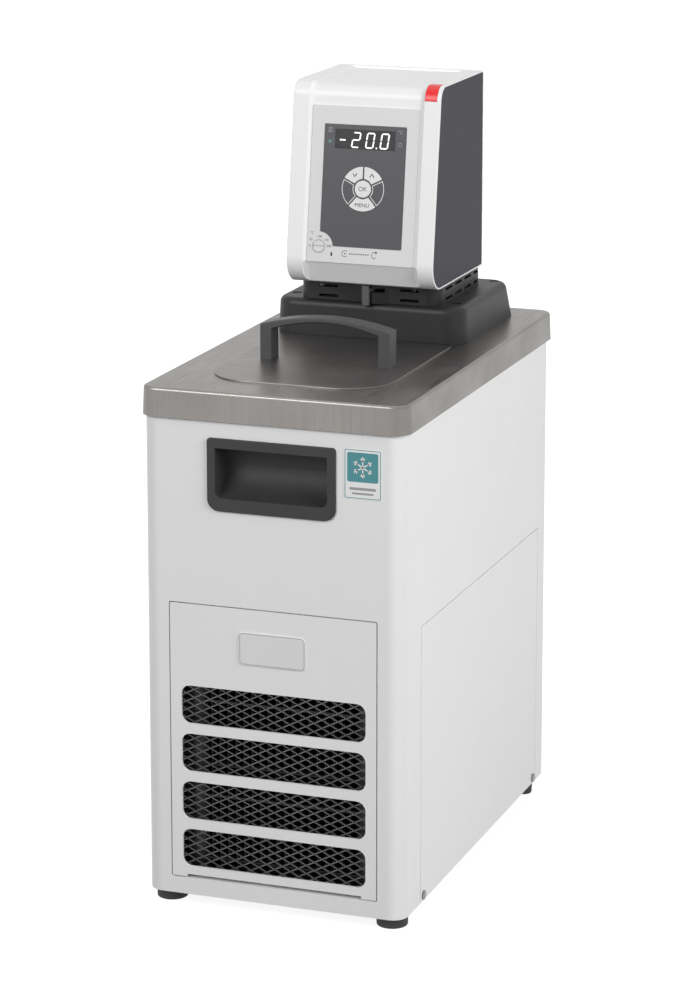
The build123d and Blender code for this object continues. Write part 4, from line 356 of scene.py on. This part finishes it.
class CIRCULATOR_OT_finishes(bpy.types.Operator):
    """Make every finish and give the CAD nodes theirs"""

    bl_idname = "circulator.finishes"
    bl_label = "Finishes"

    def execute(self, context):
        colours = context.scene.circulator_colours
        # Polyester powder coat on sheet steel: white, even, a faint orange peel in the gloss
        finish("powder_coated_steel", colours.cabinet, 0.42, grain=1.6, relief=0.012, mottle=0.008)
        # Cold-rolled stainless, brushed from front to back and folded down at the rim, so the lines
        # stand upright on the front rim; they are drawn 1.2 mm wide, as finer ones wouldn't show
        # Its colour is set well darker than the drawn stainless below: painted shade standing for the dark
        # reflection on the deck's top
        finish(
            "brushed_stainless_deck", "#8A8784", 0.36, metallic=1.0, grain=48.0, relief=0.006,
            mottle=0.07, stretch=(40.0, 1.0, 1.0), wear=0.08,
        )
        # The same sheet, brushed across the lid, with its colour a shade darker than the deck's: painted
        # shade for the lid's darker reflection
        finish(
            "brushed_stainless_lid", "#827F7D", 0.36, metallic=1.0, grain=48.0, relief=0.006,
            mottle=0.07, stretch=(1.0, 40.0, 40.0), wear=0.08,
        )
        # Drawn stainless of the bath and tubes, electropolished
        finish("drawn_stainless", "#BDBDBC", 0.25, metallic=1.0, grain=2.0, relief=0.002)
        # Zinc-plated steel screws and brackets, slightly milky
        finish(
            "zinc_plated_steel", "#85878A", 0.34, metallic=1.0, grain=1.0, relief=0.004, mottle=0.05
        )
        # Black-oxide screws
        finish("black_oxide_steel", "#2C2C2D", 0.45, metallic=1.0, grain=1.0, relief=0.004)
        # Polyamide handle cups with a spark-eroded texture
        finish(
            "textured_polyamide", "#373737", 0.56, ior=1.53, grain=0.9, relief=0.05, mottle=0.05,
            specular=0.3,
        )
        # Moulded polyurethane plinth, fine grain with a soft sheen
        finish(
            "grained_polyurethane", colours.black, 0.46, grain=0.8, relief=0.035, mottle=0.05, specular=0.35
        )
        # ABS of the head base and small black parts
        finish(
            "moulded_abs_black", "#1B1B1C", 0.46, ior=1.53, grain=0.8, relief=0.02, mottle=0.04,
            specular=0.3,
        )
        # Glass-filled polyamide handle of the lid
        finish(
            "moulded_polyamide_handle", "#3C3C3E", 0.44, ior=1.53, grain=0.8, relief=0.03, mottle=0.05
        )
        # ABS head housing, white, satin from a polished mould
        finish(
            "moulded_abs_white", colours.head, 0.38, ior=1.53, grain=1.2, relief=0.006, mottle=0.006
        )
        # Painted ABS side covers, fine matt texture
        finish(
            "matt_abs_cover", colours.cover, 0.60, ior=1.53, grain=0.7, relief=0.03, mottle=0.03,
            specular=0.15,
        )
        # Polyester film overlay with a matt print
        finish(
            "matt_polyester_film", "#DEDEDE", 0.45, ior=1.57, grain=0.6, relief=0.006, mottle=0.008
        )
        # Dark printed polyester panel, slightly glossier
        finish(
            "dark_polyester_film", colours.panel, 0.36, ior=1.57, grain=0.6, relief=0.006, mottle=0.02
        )
        # Tinted acrylic display lens
        finish("tinted_acrylic", "#303033", 0.16, ior=1.49, grain=2.0, relief=0.001, mottle=0.02)
        # Light key film
        finish(
            "key_polyester_film", "#E6E6E6", 0.42, ior=1.57, grain=0.6, relief=0.006, mottle=0.01
        )
        # Acetal of the dial, light, and of the lever, dark, both satin from the mould
        finish("moulded_pom_grey", "#E2E2E2", 0.40, ior=1.48, grain=0.8, relief=0.01, mottle=0.03)
        finish("moulded_pom_dark", "#58585A", 0.42, ior=1.48, grain=0.8, relief=0.01, mottle=0.04)
        # Red ABS button, glossy
        finish(
            "moulded_abs_red", colours.button, 0.30, ior=1.53, grain=1.2, relief=0.004, mottle=0.02
        )
        # Anodised aluminium badge, left bare
        finish("satin_badge", "#E4E4E4", 0.35, grain=0.6, relief=0.004, mottle=0.01)
        # Vinyl label film
        finish("vinyl_film", "#F0F0F0", 0.40, grain=0.6, relief=0.004, mottle=0.01)
        # Expanded aluminium, coloured a dark mid grey
        finish(
            "expanded_aluminium", "#68686A", 0.45, metallic=0.85, grain=1.0, relief=0.01, mottle=0.10
        )
        # Drawn copper tube, warm and smooth, with darker patches from handling
        finish("drawn_copper", "#C27A52", 0.30, metallic=1.0, grain=2.0, relief=0.003, mottle=0.08)
        # Turned brass of the tap
        finish("turned_brass", "#C9A961", 0.28, metallic=1.0, grain=1.0, relief=0.003, mottle=0.05)
        # Dipped black enamel of the compressor, condenser and fan housing, with a dull sheen. The
        # condenser's black is partly its own coat and partly painted shade, keeping the inside seen behind
        # the vent mesh dark
        finish("black_enamel", "#1C1C1E", 0.45, grain=1.5, relief=0.01, mottle=0.04)
        # Glass-epoxy board under green solder mask
        finish("solder_masked_board", "#2E6A3C", 0.40, grain=1.2, relief=0.01, mottle=0.05)
        # Milky silicone hose, nitrile feet, moulded float and sprayed foam, all matt
        finish("silicone_rubber", "#D8D6CE", 0.55, ior=1.41, grain=1.5, relief=0.01, mottle=0.03)
        finish("moulded_rubber", "#343433", 0.70, ior=1.52, grain=0.9, relief=0.03, mottle=0.06)
        finish(
            "polypropylene_float", "#E4E2DB", 0.45, ior=1.49, grain=1.0, relief=0.01, mottle=0.02
        )
        finish("polyurethane_foam", "#E3D6A8", 0.85, grain=1.5, relief=0.25, mottle=0.08)
        # Inks: light grey, dark grey and muted green-blue, printed on the films
        finish("ink_light", "#E9E9E9", 0.5, grain=0.5, relief=0.002, mottle=0.01)
        finish("ink_dark", "#2C2C30", 0.5, grain=0.5, relief=0.002, mottle=0.02)
        finish("ink_grey", "#9C9CA0", 0.5, grain=0.5, relief=0.002, mottle=0.02)
        finish("ink_teal", "#4D8F95", 0.5, grain=0.5, relief=0.002, mottle=0.02)
        finish("lit_segment", "#F6F6F2", 0.5, grain=0.5, relief=0.001, mottle=0.01, glow=0.55)
        finish("indicator_green", "#5E9A86", 0.5, grain=0.5, relief=0.001, mottle=0.01, glow=0.15)
        by_finish = {
            "powder_coated_steel": "cabinet_shell side_panel_left side_panel_right vent_grille"
            " rear_panel",
            "brushed_stainless_deck": "top_deck",
            "brushed_stainless_lid": "bath_lid",
            "drawn_stainless": "bath_tank evaporator_coil heater_coil temperature_probe"
            " level_sensor pump_ports pump_rotor",
            "zinc_plated_steel": "base_pan cabinet_screws lid_handle_screws",
            "black_oxide_steel": "plinth_screws",
            "textured_polyamide": "carry_handle_front carry_handle_rear",
            "grained_polyurethane": "plinth",
            "moulded_abs_black": "head_base compressor_terminal_cover mains_inlet fan_rotor"
            " drain_tap_knob pump_housing",
            "moulded_polyamide_handle": "lid_handle",
            "moulded_abs_white": "head_housing",
            "matt_abs_cover": "side_cover_left side_cover_right rear_cover",
            "matt_polyester_film": "front_overlay",
            "dark_polyester_film": "display_panel",
            "tinted_acrylic": "led_display",
            "key_polyester_film": "key_down key_menu key_ok key_up",
            "moulded_pom_grey": "cutoff_dial",
            "moulded_pom_dark": "pump_lever",
            "moulded_abs_red": "power_button",
            "satin_badge": "grille_badge",
            "vinyl_film": "front_label",
            "expanded_aluminium": "grille_mesh",
            "drawn_copper": "discharge_line suction_line filter_dryer",
            "turned_brass": "drain_tap_body",
            "black_enamel": "compressor condenser fan_motor fan_shroud pump_motor",
            "solder_masked_board": "control_board",
            "silicone_rubber": "drain_pipe",
            "moulded_rubber": "feet compressor_mounts",
            "polypropylene_float": "level_float",
            "polyurethane_foam": "tank_insulation",
        }
        for name, nodes in by_finish.items():
            for node in nodes.split():
                slots = NODES[node].data.materials
                slots.clear()
                slots.append(bpy.data.materials[name])
        return {"FINISHED"}


class CIRCULATOR_OT_vent_mesh(bpy.types.Operator):
    """Weave the expanded-metal mesh behind the grille at its true pitch"""

    bl_idname = "circulator.vent_mesh"
    bl_label = "Vent mesh"

    def execute(self, context):
        sizes = context.scene.circulator_sizes
        low, high = (np.array(c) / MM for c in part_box("grille_mesh"))
        # Bonds lie on a grid of half pitches where column plus row is even. Each strand runs
        # from a bond to the next bond up or down, as a bar tilted about its own length.
        half_long, half_short = sizes.mesh_long / 2, sizes.mesh_short / 2
        columns = int((high[0] - low[0]) / half_long)
        rows = int((high[2] - low[2]) / half_short)
        column, row = np.meshgrid(np.arange(columns), np.arange(rows), indexing="ij")
        even = ((column + row) % 2 == 0).ravel()
        starts = np.stack([column.ravel()[even], row.ravel()[even]], axis=1)
        links = []
        for step in (-1, 1):
            ends = starts + (1, step)
            kept = (ends[:, 0] <= columns) & (ends[:, 1] >= 0) & (ends[:, 1] <= rows)
            links.append(np.stack([starts[kept], ends[kept]], axis=1))
        links = np.concatenate(links).astype(float)
        offset_x = (low[0] + high[0] - columns * half_long) / 2
        offset_z = (low[2] + high[2] - rows * half_short) / 2
        flat = links * (half_long, half_short) + (offset_x, offset_z)
        middle = (low[1] + high[1]) / 2
        first = np.insert(flat[:, 0], 1, middle, axis=1)
        last = np.insert(flat[:, 1], 1, middle, axis=1)
        along = last - first
        along /= np.linalg.norm(along, axis=1, keepdims=True)
        across = np.cross(along, (0.0, 1.0, 0.0))
        across[across[:, 2] < 0] *= -1
        depth = np.cross(across, along)
        depth[depth[:, 1] < 0] *= -1
        tilt = math.radians(24)
        wide = (across * math.cos(tilt) - depth * math.sin(tilt)) * sizes.strand_width / 2
        thick = (across * math.sin(tilt) + depth * math.cos(tilt)) * sizes.strand_thick / 2
        reach = along * sizes.strand_width * 0.35
        corners = [
            end + sign * reach + a * wide + b * thick
            for end, sign in ((first, -1), (last, 1))
            for a, b in ((-1, -1), (1, -1), (1, 1), (-1, 1))
        ]
        verts = np.stack(corners, axis=1).reshape(-1, 3)
        sides = np.array(
            [(0, 3, 2, 1), (4, 5, 6, 7), (0, 1, 5, 4), (1, 2, 6, 5), (2, 3, 7, 6), (3, 0, 4, 7)]
        )
        faces = (sides[None] + 8 * np.arange(len(first))[:, None, None]).reshape(-1, 4)
        piece = new_piece(
            "expanded_mesh", verts * MM, faces, "expanded_aluminium", "grille"
        )
        piece.data.validate()
        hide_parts("grille_mesh")
        return {"FINISHED"}


def segments(centre, width, height, thick, which):
    """Seven-segment outlines: six-cornered bars between mitred ends, leaned to the right."""
    x, y, t = width / 2 - thick / 2, height / 2 - thick / 2, thick / 2
    gap = 0.14
    places = {
        "a": ((-x, y), (x, y)), "g": ((-x, 0), (x, 0)), "d": ((-x, -y), (x, -y)),
        "f": ((-x, 0), (-x, y)), "b": ((x, 0), (x, y)),
        "e": ((-x, -y), (-x, 0)), "c": ((x, -y), (x, 0)),
    }
    shapes = []
    for key in which:
        p, q = np.array(places[key][0]), np.array(places[key][1])
        u = (q - p) / np.linalg.norm(q - p)
        n = np.array((-u[1], u[0])) * t
        p, q = p + u * gap, q - u * gap
        bar = np.array([p, p + u * t - n, q - u * t - n, q, q - u * t + n, p + u * t + n])
        bar[:, 0] += bar[:, 1] * math.tan(math.radians(7))
        shapes.append(bar + np.array(centre))
    return shapes


class CIRCULATOR_OT_display(bpy.types.Operator):
    """Light the display's digits and print its pictograms"""

    bl_idname = "circulator.display"
    bl_label = "Display"

    def execute(self, context):
        sizes = context.scene.circulator_sizes
        level = 125.9
        minus = level - 0.4
        point = (10.2, level - sizes.digit_height / 2 + 0.6)
        shape = (sizes.digit_width, sizes.digit_height, sizes.segment)
        lit = line_strip([(-22.8, minus), (-17.6, minus)], sizes.segment).tolist()
        for middle, which in ((-8.1, "abged"), (4.5, "abcdef"), (17.4, "abcdef")):
            lit += segments((middle, level), *shape, which)
        lit.append(rounded(point, 1.4, 1.4, 0.5, 3))
        inked(
            "display_digits", LEANING_FRONT, lit, DIGIT_RISE, "lit_segment", "cabinet",
            "key_film",
        )
        stroke = 0.45
        heat = []
        for middle in (-32.8, -31.5, -30.2):
            wave = [(middle + 0.3 * math.sin(t * 2.1), 132.4 + t) for t in np.linspace(0, 3.6, 7)]
            heat += list(line_strip(wave, stroke))
        heat += list(line_strip([(-33.4, 131.9), (-29.6, 131.9)], stroke))
        inked(
            "heating_pictogram", LEANING_FRONT, heat, PANEL_RISE, "ink_grey", "cabinet",
            "key_film",
        )
        centre, arm = np.array((-31.4, 123.8)), 1.7
        flake = []
        for angle in (0, 60, 120):
            reach = arm * direction(angle)
            flake += list(line_strip([centre - reach, centre + reach], stroke))
        inked(
            "cooling_pictogram", LEANING_FRONT, flake, PANEL_RISE,
            "indicator_green", "cabinet", "key_film",
        )
        lettering(
            "degree_sign", "°C", LEANING_FRONT, (31.3, 134.3), 4.2, PANEL_RISE,
            "ink_grey", "cabinet", "key_film",
        )
        centre = (31.4, 123.6)
        bell = list(loop_strips(arc(centre, 1.7, 0, 345), arc(centre, 1.25, 0, 345)))
        inked("alarm_pictogram", LEANING_FRONT, bell, PANEL_RISE, "ink_grey", "cabinet", "key_film")
        return {"FINISHED"}


class CIRCULATOR_OT_keypad(bpy.types.Operator):
    """Print the key legends and the outlines of the blank sectors"""

    bl_idname = "circulator.keypad"
    bl_label = "Keypad"

    def execute(self, context):
        middle = (0.0, 84.8)
        inner, outer, gap, line = 8.6, 18.9, 0.7, 0.6
        shapes = []
        for start, end in ((154, 229), (-49, 26)):
            edge = sector(middle, start, end, inner, outer, gap)
            inside = sector(middle, start, end, inner + line, outer - line, gap + line)
            shapes += list(loop_strips(edge, inside))
        inked(
            "blank_sectors", LEANING_FRONT, shapes, PANEL_RISE, "ink_light", "cabinet", "key_film"
        )
        chevron, stroke = np.array([(-1.9, 1.4), (0.0, -1.5), (1.9, 1.4)]), 0.75
        for key, place, flip in (("down", (-7.7, 96.4), (1, 1)), ("up", (7.7, 96.4), (1, -1))):
            inked(
                key + "_legend", LEANING_FRONT, list(line_strip(chevron * flip + place, stroke)),
                KEY_RISE, "ink_dark", "key_" + key, "panel_dark",
            )
        for key, place, size in (("ok", middle, 5.4), ("menu", (0.0, 71.1), 4.8)):
            lettering(
                key + "_legend", key.upper(), LEANING_FRONT, place, size,
                KEY_RISE, "ink_dark", "key_" + key, "panel_dark",
            )
        return {"FINISHED"}


class CIRCULATOR_OT_dial_scale(bpy.types.Operator):
    """Print the cut-out dial's scale and the pictograms under the panel"""

    bl_idname = "circulator.dial_scale"
    bl_label = "Dial scale"

    def execute(self, context):
        dark = ("ink_dark", "cabinet", "panel_dark")
        centre = np.array((-37.4, 34.3))
        ring = list(loop_strips(arc(centre, 6.0, 0, 352.5, 48), arc(centre, 5.7, 0, 352.5, 48)))
        inked("dial_ring", LEANING_FRONT, ring, OVERLAY_RISE, "ink_grey", "cabinet", "panel_dark")
        for text, angle, radius in (
            ("0", 180, 8.2), ("50", 143, 9.0), ("100", 84, 8.4), ("150", 40, 9.0), ("200", 4, 9.2),
        ):
            place = centre + radius * direction(angle)
            lettering("dial_" + text, text, LEANING_FRONT, place, 2.9, OVERLAY_RISE, *dark)
        lettering("dial_unit", "°C", LEANING_FRONT, (-43.9, 45.6), 3.2, OVERLAY_RISE, *dark)
        t = np.linspace(0, 2 * math.pi, 25)[:-1]
        drop = np.stack(
            [-25.6 + 1.25 * np.sin(t) * np.sin(t / 2) ** 1.3, 28.6 + 2.1 * np.cos(t)], axis=1
        )
        inked("level_pictogram", LEANING_FRONT, [drop], OVERLAY_RISE, *dark)
        level, bow, stroke = 29.3, 2.6, 0.5
        flow = list(line_strip(arc((-13.6, level), bow, 40, 320, 20), stroke))
        flow += list(line_strip(arc((13.0, level), bow, 60, 300, 20), stroke))
        for step in range(9):
            flow.append(rounded((-9.2 + 2.05 * step, level), 1.15, 1.15, 0.4, 3))
        flow.append(np.array([(-12.4, level), (-13.9, level + 0.9), (-13.9, level - 0.9)]))
        flow.append(np.array([(15.6, 32.3), (13.2, 32.4), (14.4, 30.2)]))
        inked("flow_pictogram", LEANING_FRONT, flow, OVERLAY_RISE, *dark)
        return {"FINISHED"}


def front_face(node):
    """Middle and size of a node's face, seen from the front, in millimetres."""
    low, high = (np.array(c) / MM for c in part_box(node))
    centre = np.array(((low[0] + high[0]) / 2, (low[2] + high[2]) / 2))
    return centre, np.array((high[0] - low[0], high[2] - low[2]))


def framed(centre, size, outer, inner):
    """A rim between two rounded outlines, each by how much smaller it is and its radius."""
    width, height = size
    edges = [rounded(centre, width - less, height - less, turn) for less, turn in (outer, inner)]
    return list(loop_strips(*edges))


class CIRCULATOR_OT_badge_and_label(bpy.types.Operator):
    """Outline the bare badge and lay a plain field on the front label"""

    bl_idname = "circulator.badge_and_label"
    bl_label = "Badge and label"

    def execute(self, context):
        centre, size = front_face("grille_badge")
        rim = framed(centre, size, (1.0, 3.4), (2.0, 2.9))
        inked("badge_outline", CABINET_FRONT, rim, BADGE_RISE, "ink_grey", "grille", "panel_dark")
        centre, size = front_face("front_label")
        shapes = framed(centre, size, (0.8, 1.3), (2.0, 0.9))
        field = centre + (0.0, 5.6)
        shapes.append(rounded(field, size[0] - 5.0, size[1] - 16.5, 1.5))
        inked(
            "label_field", CABINET_FRONT, shapes, LABEL_RISE, "ink_teal", "cabinet",
            "label_white",
        )
        arms = []
        for angle in (90, 150, 210):
            reach = 8.6 * direction(angle)
            arms += list(line_strip([field - reach, field + reach], 1.1))
        for angle in range(90, 450, 60):
            fork = field + 4.9 * direction(angle)
            for side in (-35, 35):
                arms += list(line_strip([fork, fork + 3.0 * direction(angle + side)], 0.9))
        inked(
            "label_snowflake", CABINET_FRONT, arms, LABEL_RISE + 2 * LIFT,
            "ink_light", "cabinet", "label_white",
        )
        bars = [
            rounded(centre + (0.0, -12.0), size[0] - 9.0, 2.2, 0.5),
            rounded(centre + (0.0, -15.9), size[0] - 13.0, 1.6, 0.5),
        ]
        inked("label_bars", CABINET_FRONT, bars, LABEL_RISE, "ink_grey", "cabinet", "label_white")
        return {"FINISHED"}


def area_lamp(name, place, target, size, power, mirrored=True):
    """A soft rectangular lamp aimed at a point, which glossy surfaces mirror or not."""
    lamp = bpy.data.lights.new(name, "AREA")
    lamp.shape = "RECTANGLE"
    lamp.size, lamp.size_y = size
    lamp.energy = power
    holder = bpy.data.objects.new(name, lamp)
    holder.location = place
    holder.visible_glossy = mirrored
    bpy.context.scene.collection.objects.link(holder)
    aim = Vector(np.array(target) - np.array(place))
    holder.rotation_euler = aim.to_track_quat("-Z", "Y").to_euler()


def seen_directly(tree):
    """A socket that is 1 for camera, glossy and transmission rays and 0 for the light they give."""
    path = add_node(tree, "ShaderNodeLightPath")
    seen = path.outputs["Is Camera Ray"]
    for kind in ("Is Glossy Ray", "Is Transmission Ray"):
        links = {0: seen, 1: path.outputs[kind]}
        seen = add_node(tree, "ShaderNodeMath", links=links, operation="MAXIMUM").outputs[0]
    return seen


class CIRCULATOR_OT_studio(bpy.types.Operator):
    """Set the floor, the soft lamps, the world and the camera"""

    bl_idname = "circulator.studio"
    bl_label = "Studio"

    def execute(self, context):
        scene = context.scene
        scene.view_settings.view_transform = "Standard"
        paper = bpy.data.materials.new("studio_paper")
        paper.use_nodes = True
        tree = paper.node_tree
        tree.nodes.clear()
        seen = seen_directly(tree)
        diffuse = add_node(tree, "ShaderNodeBsdfDiffuse", {"Color": linear("#8A8A8A")})
        # The paper brightens away from the object, so only its contact shadow stays
        place = add_node(tree, "ShaderNodeTexCoord").outputs["Object"]
        away = add_node(tree, "ShaderNodeVectorMath", links={0: place}, operation="LENGTH")
        fade = add_node(
            tree,
            "ShaderNodeMapRange",
            {"From Min": 0.3, "From Max": 0.7, "To Min": 0.88, "To Max": 1.0},
            {"Value": away.outputs["Value"]},
        )
        dimmer = add_node(
            tree, "ShaderNodeMath", links={0: seen, 1: fade.outputs[0]}, operation="MULTIPLY"
        )
        glow = add_node(
            tree, "ShaderNodeEmission", {"Color": WHITE}, {"Strength": dimmer.outputs[0]}
        )
        both = add_node(
            tree, "ShaderNodeAddShader", links={0: diffuse.outputs[0], 1: glow.outputs[0]}
        )
        add_node(tree, "ShaderNodeOutputMaterial", links={"Surface": both.outputs[0]})
        mesh = bpy.data.meshes.new("studio_floor")
        reach = 14.0
        corners = [(-reach, -reach, 0), (reach, -reach, 0), (reach, reach, 0), (-reach, reach, 0)]
        mesh.from_pydata(corners, [], [(0, 1, 2, 3)])
        mesh.materials.append(paper)
        floor = bpy.data.objects.new("studio_floor", mesh)
        scene.collection.objects.link(floor)
        world = bpy.data.worlds.new("studio_world")
        scene.world = world
        world.use_nodes = True
        tree = world.node_tree
        tree.nodes.clear()
        level = add_node(
            tree, "ShaderNodeMapRange", {"To Min": 0.24, "To Max": 1.0}, {"Value": seen_directly(tree)}
        )
        sky = add_node(
            tree, "ShaderNodeBackground", {"Color": WHITE}, {"Strength": level.outputs[0]}
        )
        add_node(tree, "ShaderNodeOutputWorld", links={"Surface": sky.outputs[0]})
        area_lamp("right_softbox", (2.4, -0.9, 1.3), (0, 0, 0.35), (1.4, 1.6), 51, mirrored=False)
        area_lamp("front_softbox", (-1.2, -2.4, 1.9), (0, 0, 0.3), (1.4, 1.4), 42)
        area_lamp("back_softbox", (-1.7, 2.3, 1.4), (0, 0, 0.3), (1.4, 1.4), 30, mirrored=False)
        area_lamp("top_softbox", (-0.3, 0.4, 2.6), (0, 0, 0.4), (1.6, 1.6), 4)
        camera = bpy.data.cameras.new("photo_camera")
        camera.lens = 125.06
        camera.sensor_width = 36.0
        camera.shift_y = -0.15
        camera.clip_end = 60.0
        holder = bpy.data.objects.new("photo_camera", camera)
        azimuth, elevation, distance = math.radians(19.77), math.radians(12.16), 2.954
        target = np.array((-0.0059, 0.0, 0.4352))
        back = np.array(
            (
                math.sin(azimuth) * math.cos(elevation),
                -math.cos(azimuth) * math.cos(elevation),
                math.sin(elevation),
            )
        )
        holder.location = target + back * distance
        holder.rotation_euler = Vector(-back).to_track_quat("-Z", "Y").to_euler()
        scene.collection.objects.link(holder)
        scene.camera = holder
        return {"FINISHED"}


STEPS = (
    CIRCULATOR_OT_finishes,
    CIRCULATOR_OT_vent_mesh,
    CIRCULATOR_OT_display,
    CIRCULATOR_OT_keypad,
    CIRCULATOR_OT_dial_scale,
    CIRCULATOR_OT_badge_and_label,
    CIRCULATOR_OT_studio,
)


class CIRCULATOR_PT_panel(bpy.types.Panel):
    """Sidebar panel that lists the steps"""

    bl_label = "Circulator"
    bl_idname = "CIRCULATOR_PT_panel"
    bl_space_type = "VIEW_3D"
    bl_region_type = "UI"
    bl_category = "Circulator"

    def draw(self, context):
        sizes = context.scene.circulator_sizes
        colours = context.scene.circulator_colours
        for group in (sizes, colours):
            box = self.layout.box()
            for key in group.__annotations__:
                box.prop(group, key)
        for step in STEPS:
            self.layout.operator(step.bl_idname)


def register():
    for cls in (CirculatorSizes, CirculatorColours, *STEPS, CIRCULATOR_PT_panel):
        bpy.utils.register_class(cls)
    bpy.types.Scene.circulator_sizes = bpy.props.PointerProperty(type=CirculatorSizes)
    bpy.types.Scene.circulator_colours = bpy.props.PointerProperty(type=CirculatorColours)


def unregister():
    del bpy.types.Scene.circulator_sizes
    del bpy.types.Scene.circulator_colours
    for cls in (CIRCULATOR_PT_panel, *reversed(STEPS), CirculatorColours, CirculatorSizes):
        bpy.utils.unregister_class(cls)


def main():
    """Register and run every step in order."""
    register()
    bpy.ops.circulator.finishes()
    bpy.ops.circulator.vent_mesh()
    bpy.ops.circulator.display()
    bpy.ops.circulator.keypad()
    bpy.ops.circulator.dial_scale()
    bpy.ops.circulator.badge_and_label()
    bpy.ops.circulator.studio()


if __name__ == "__main__":
    main()
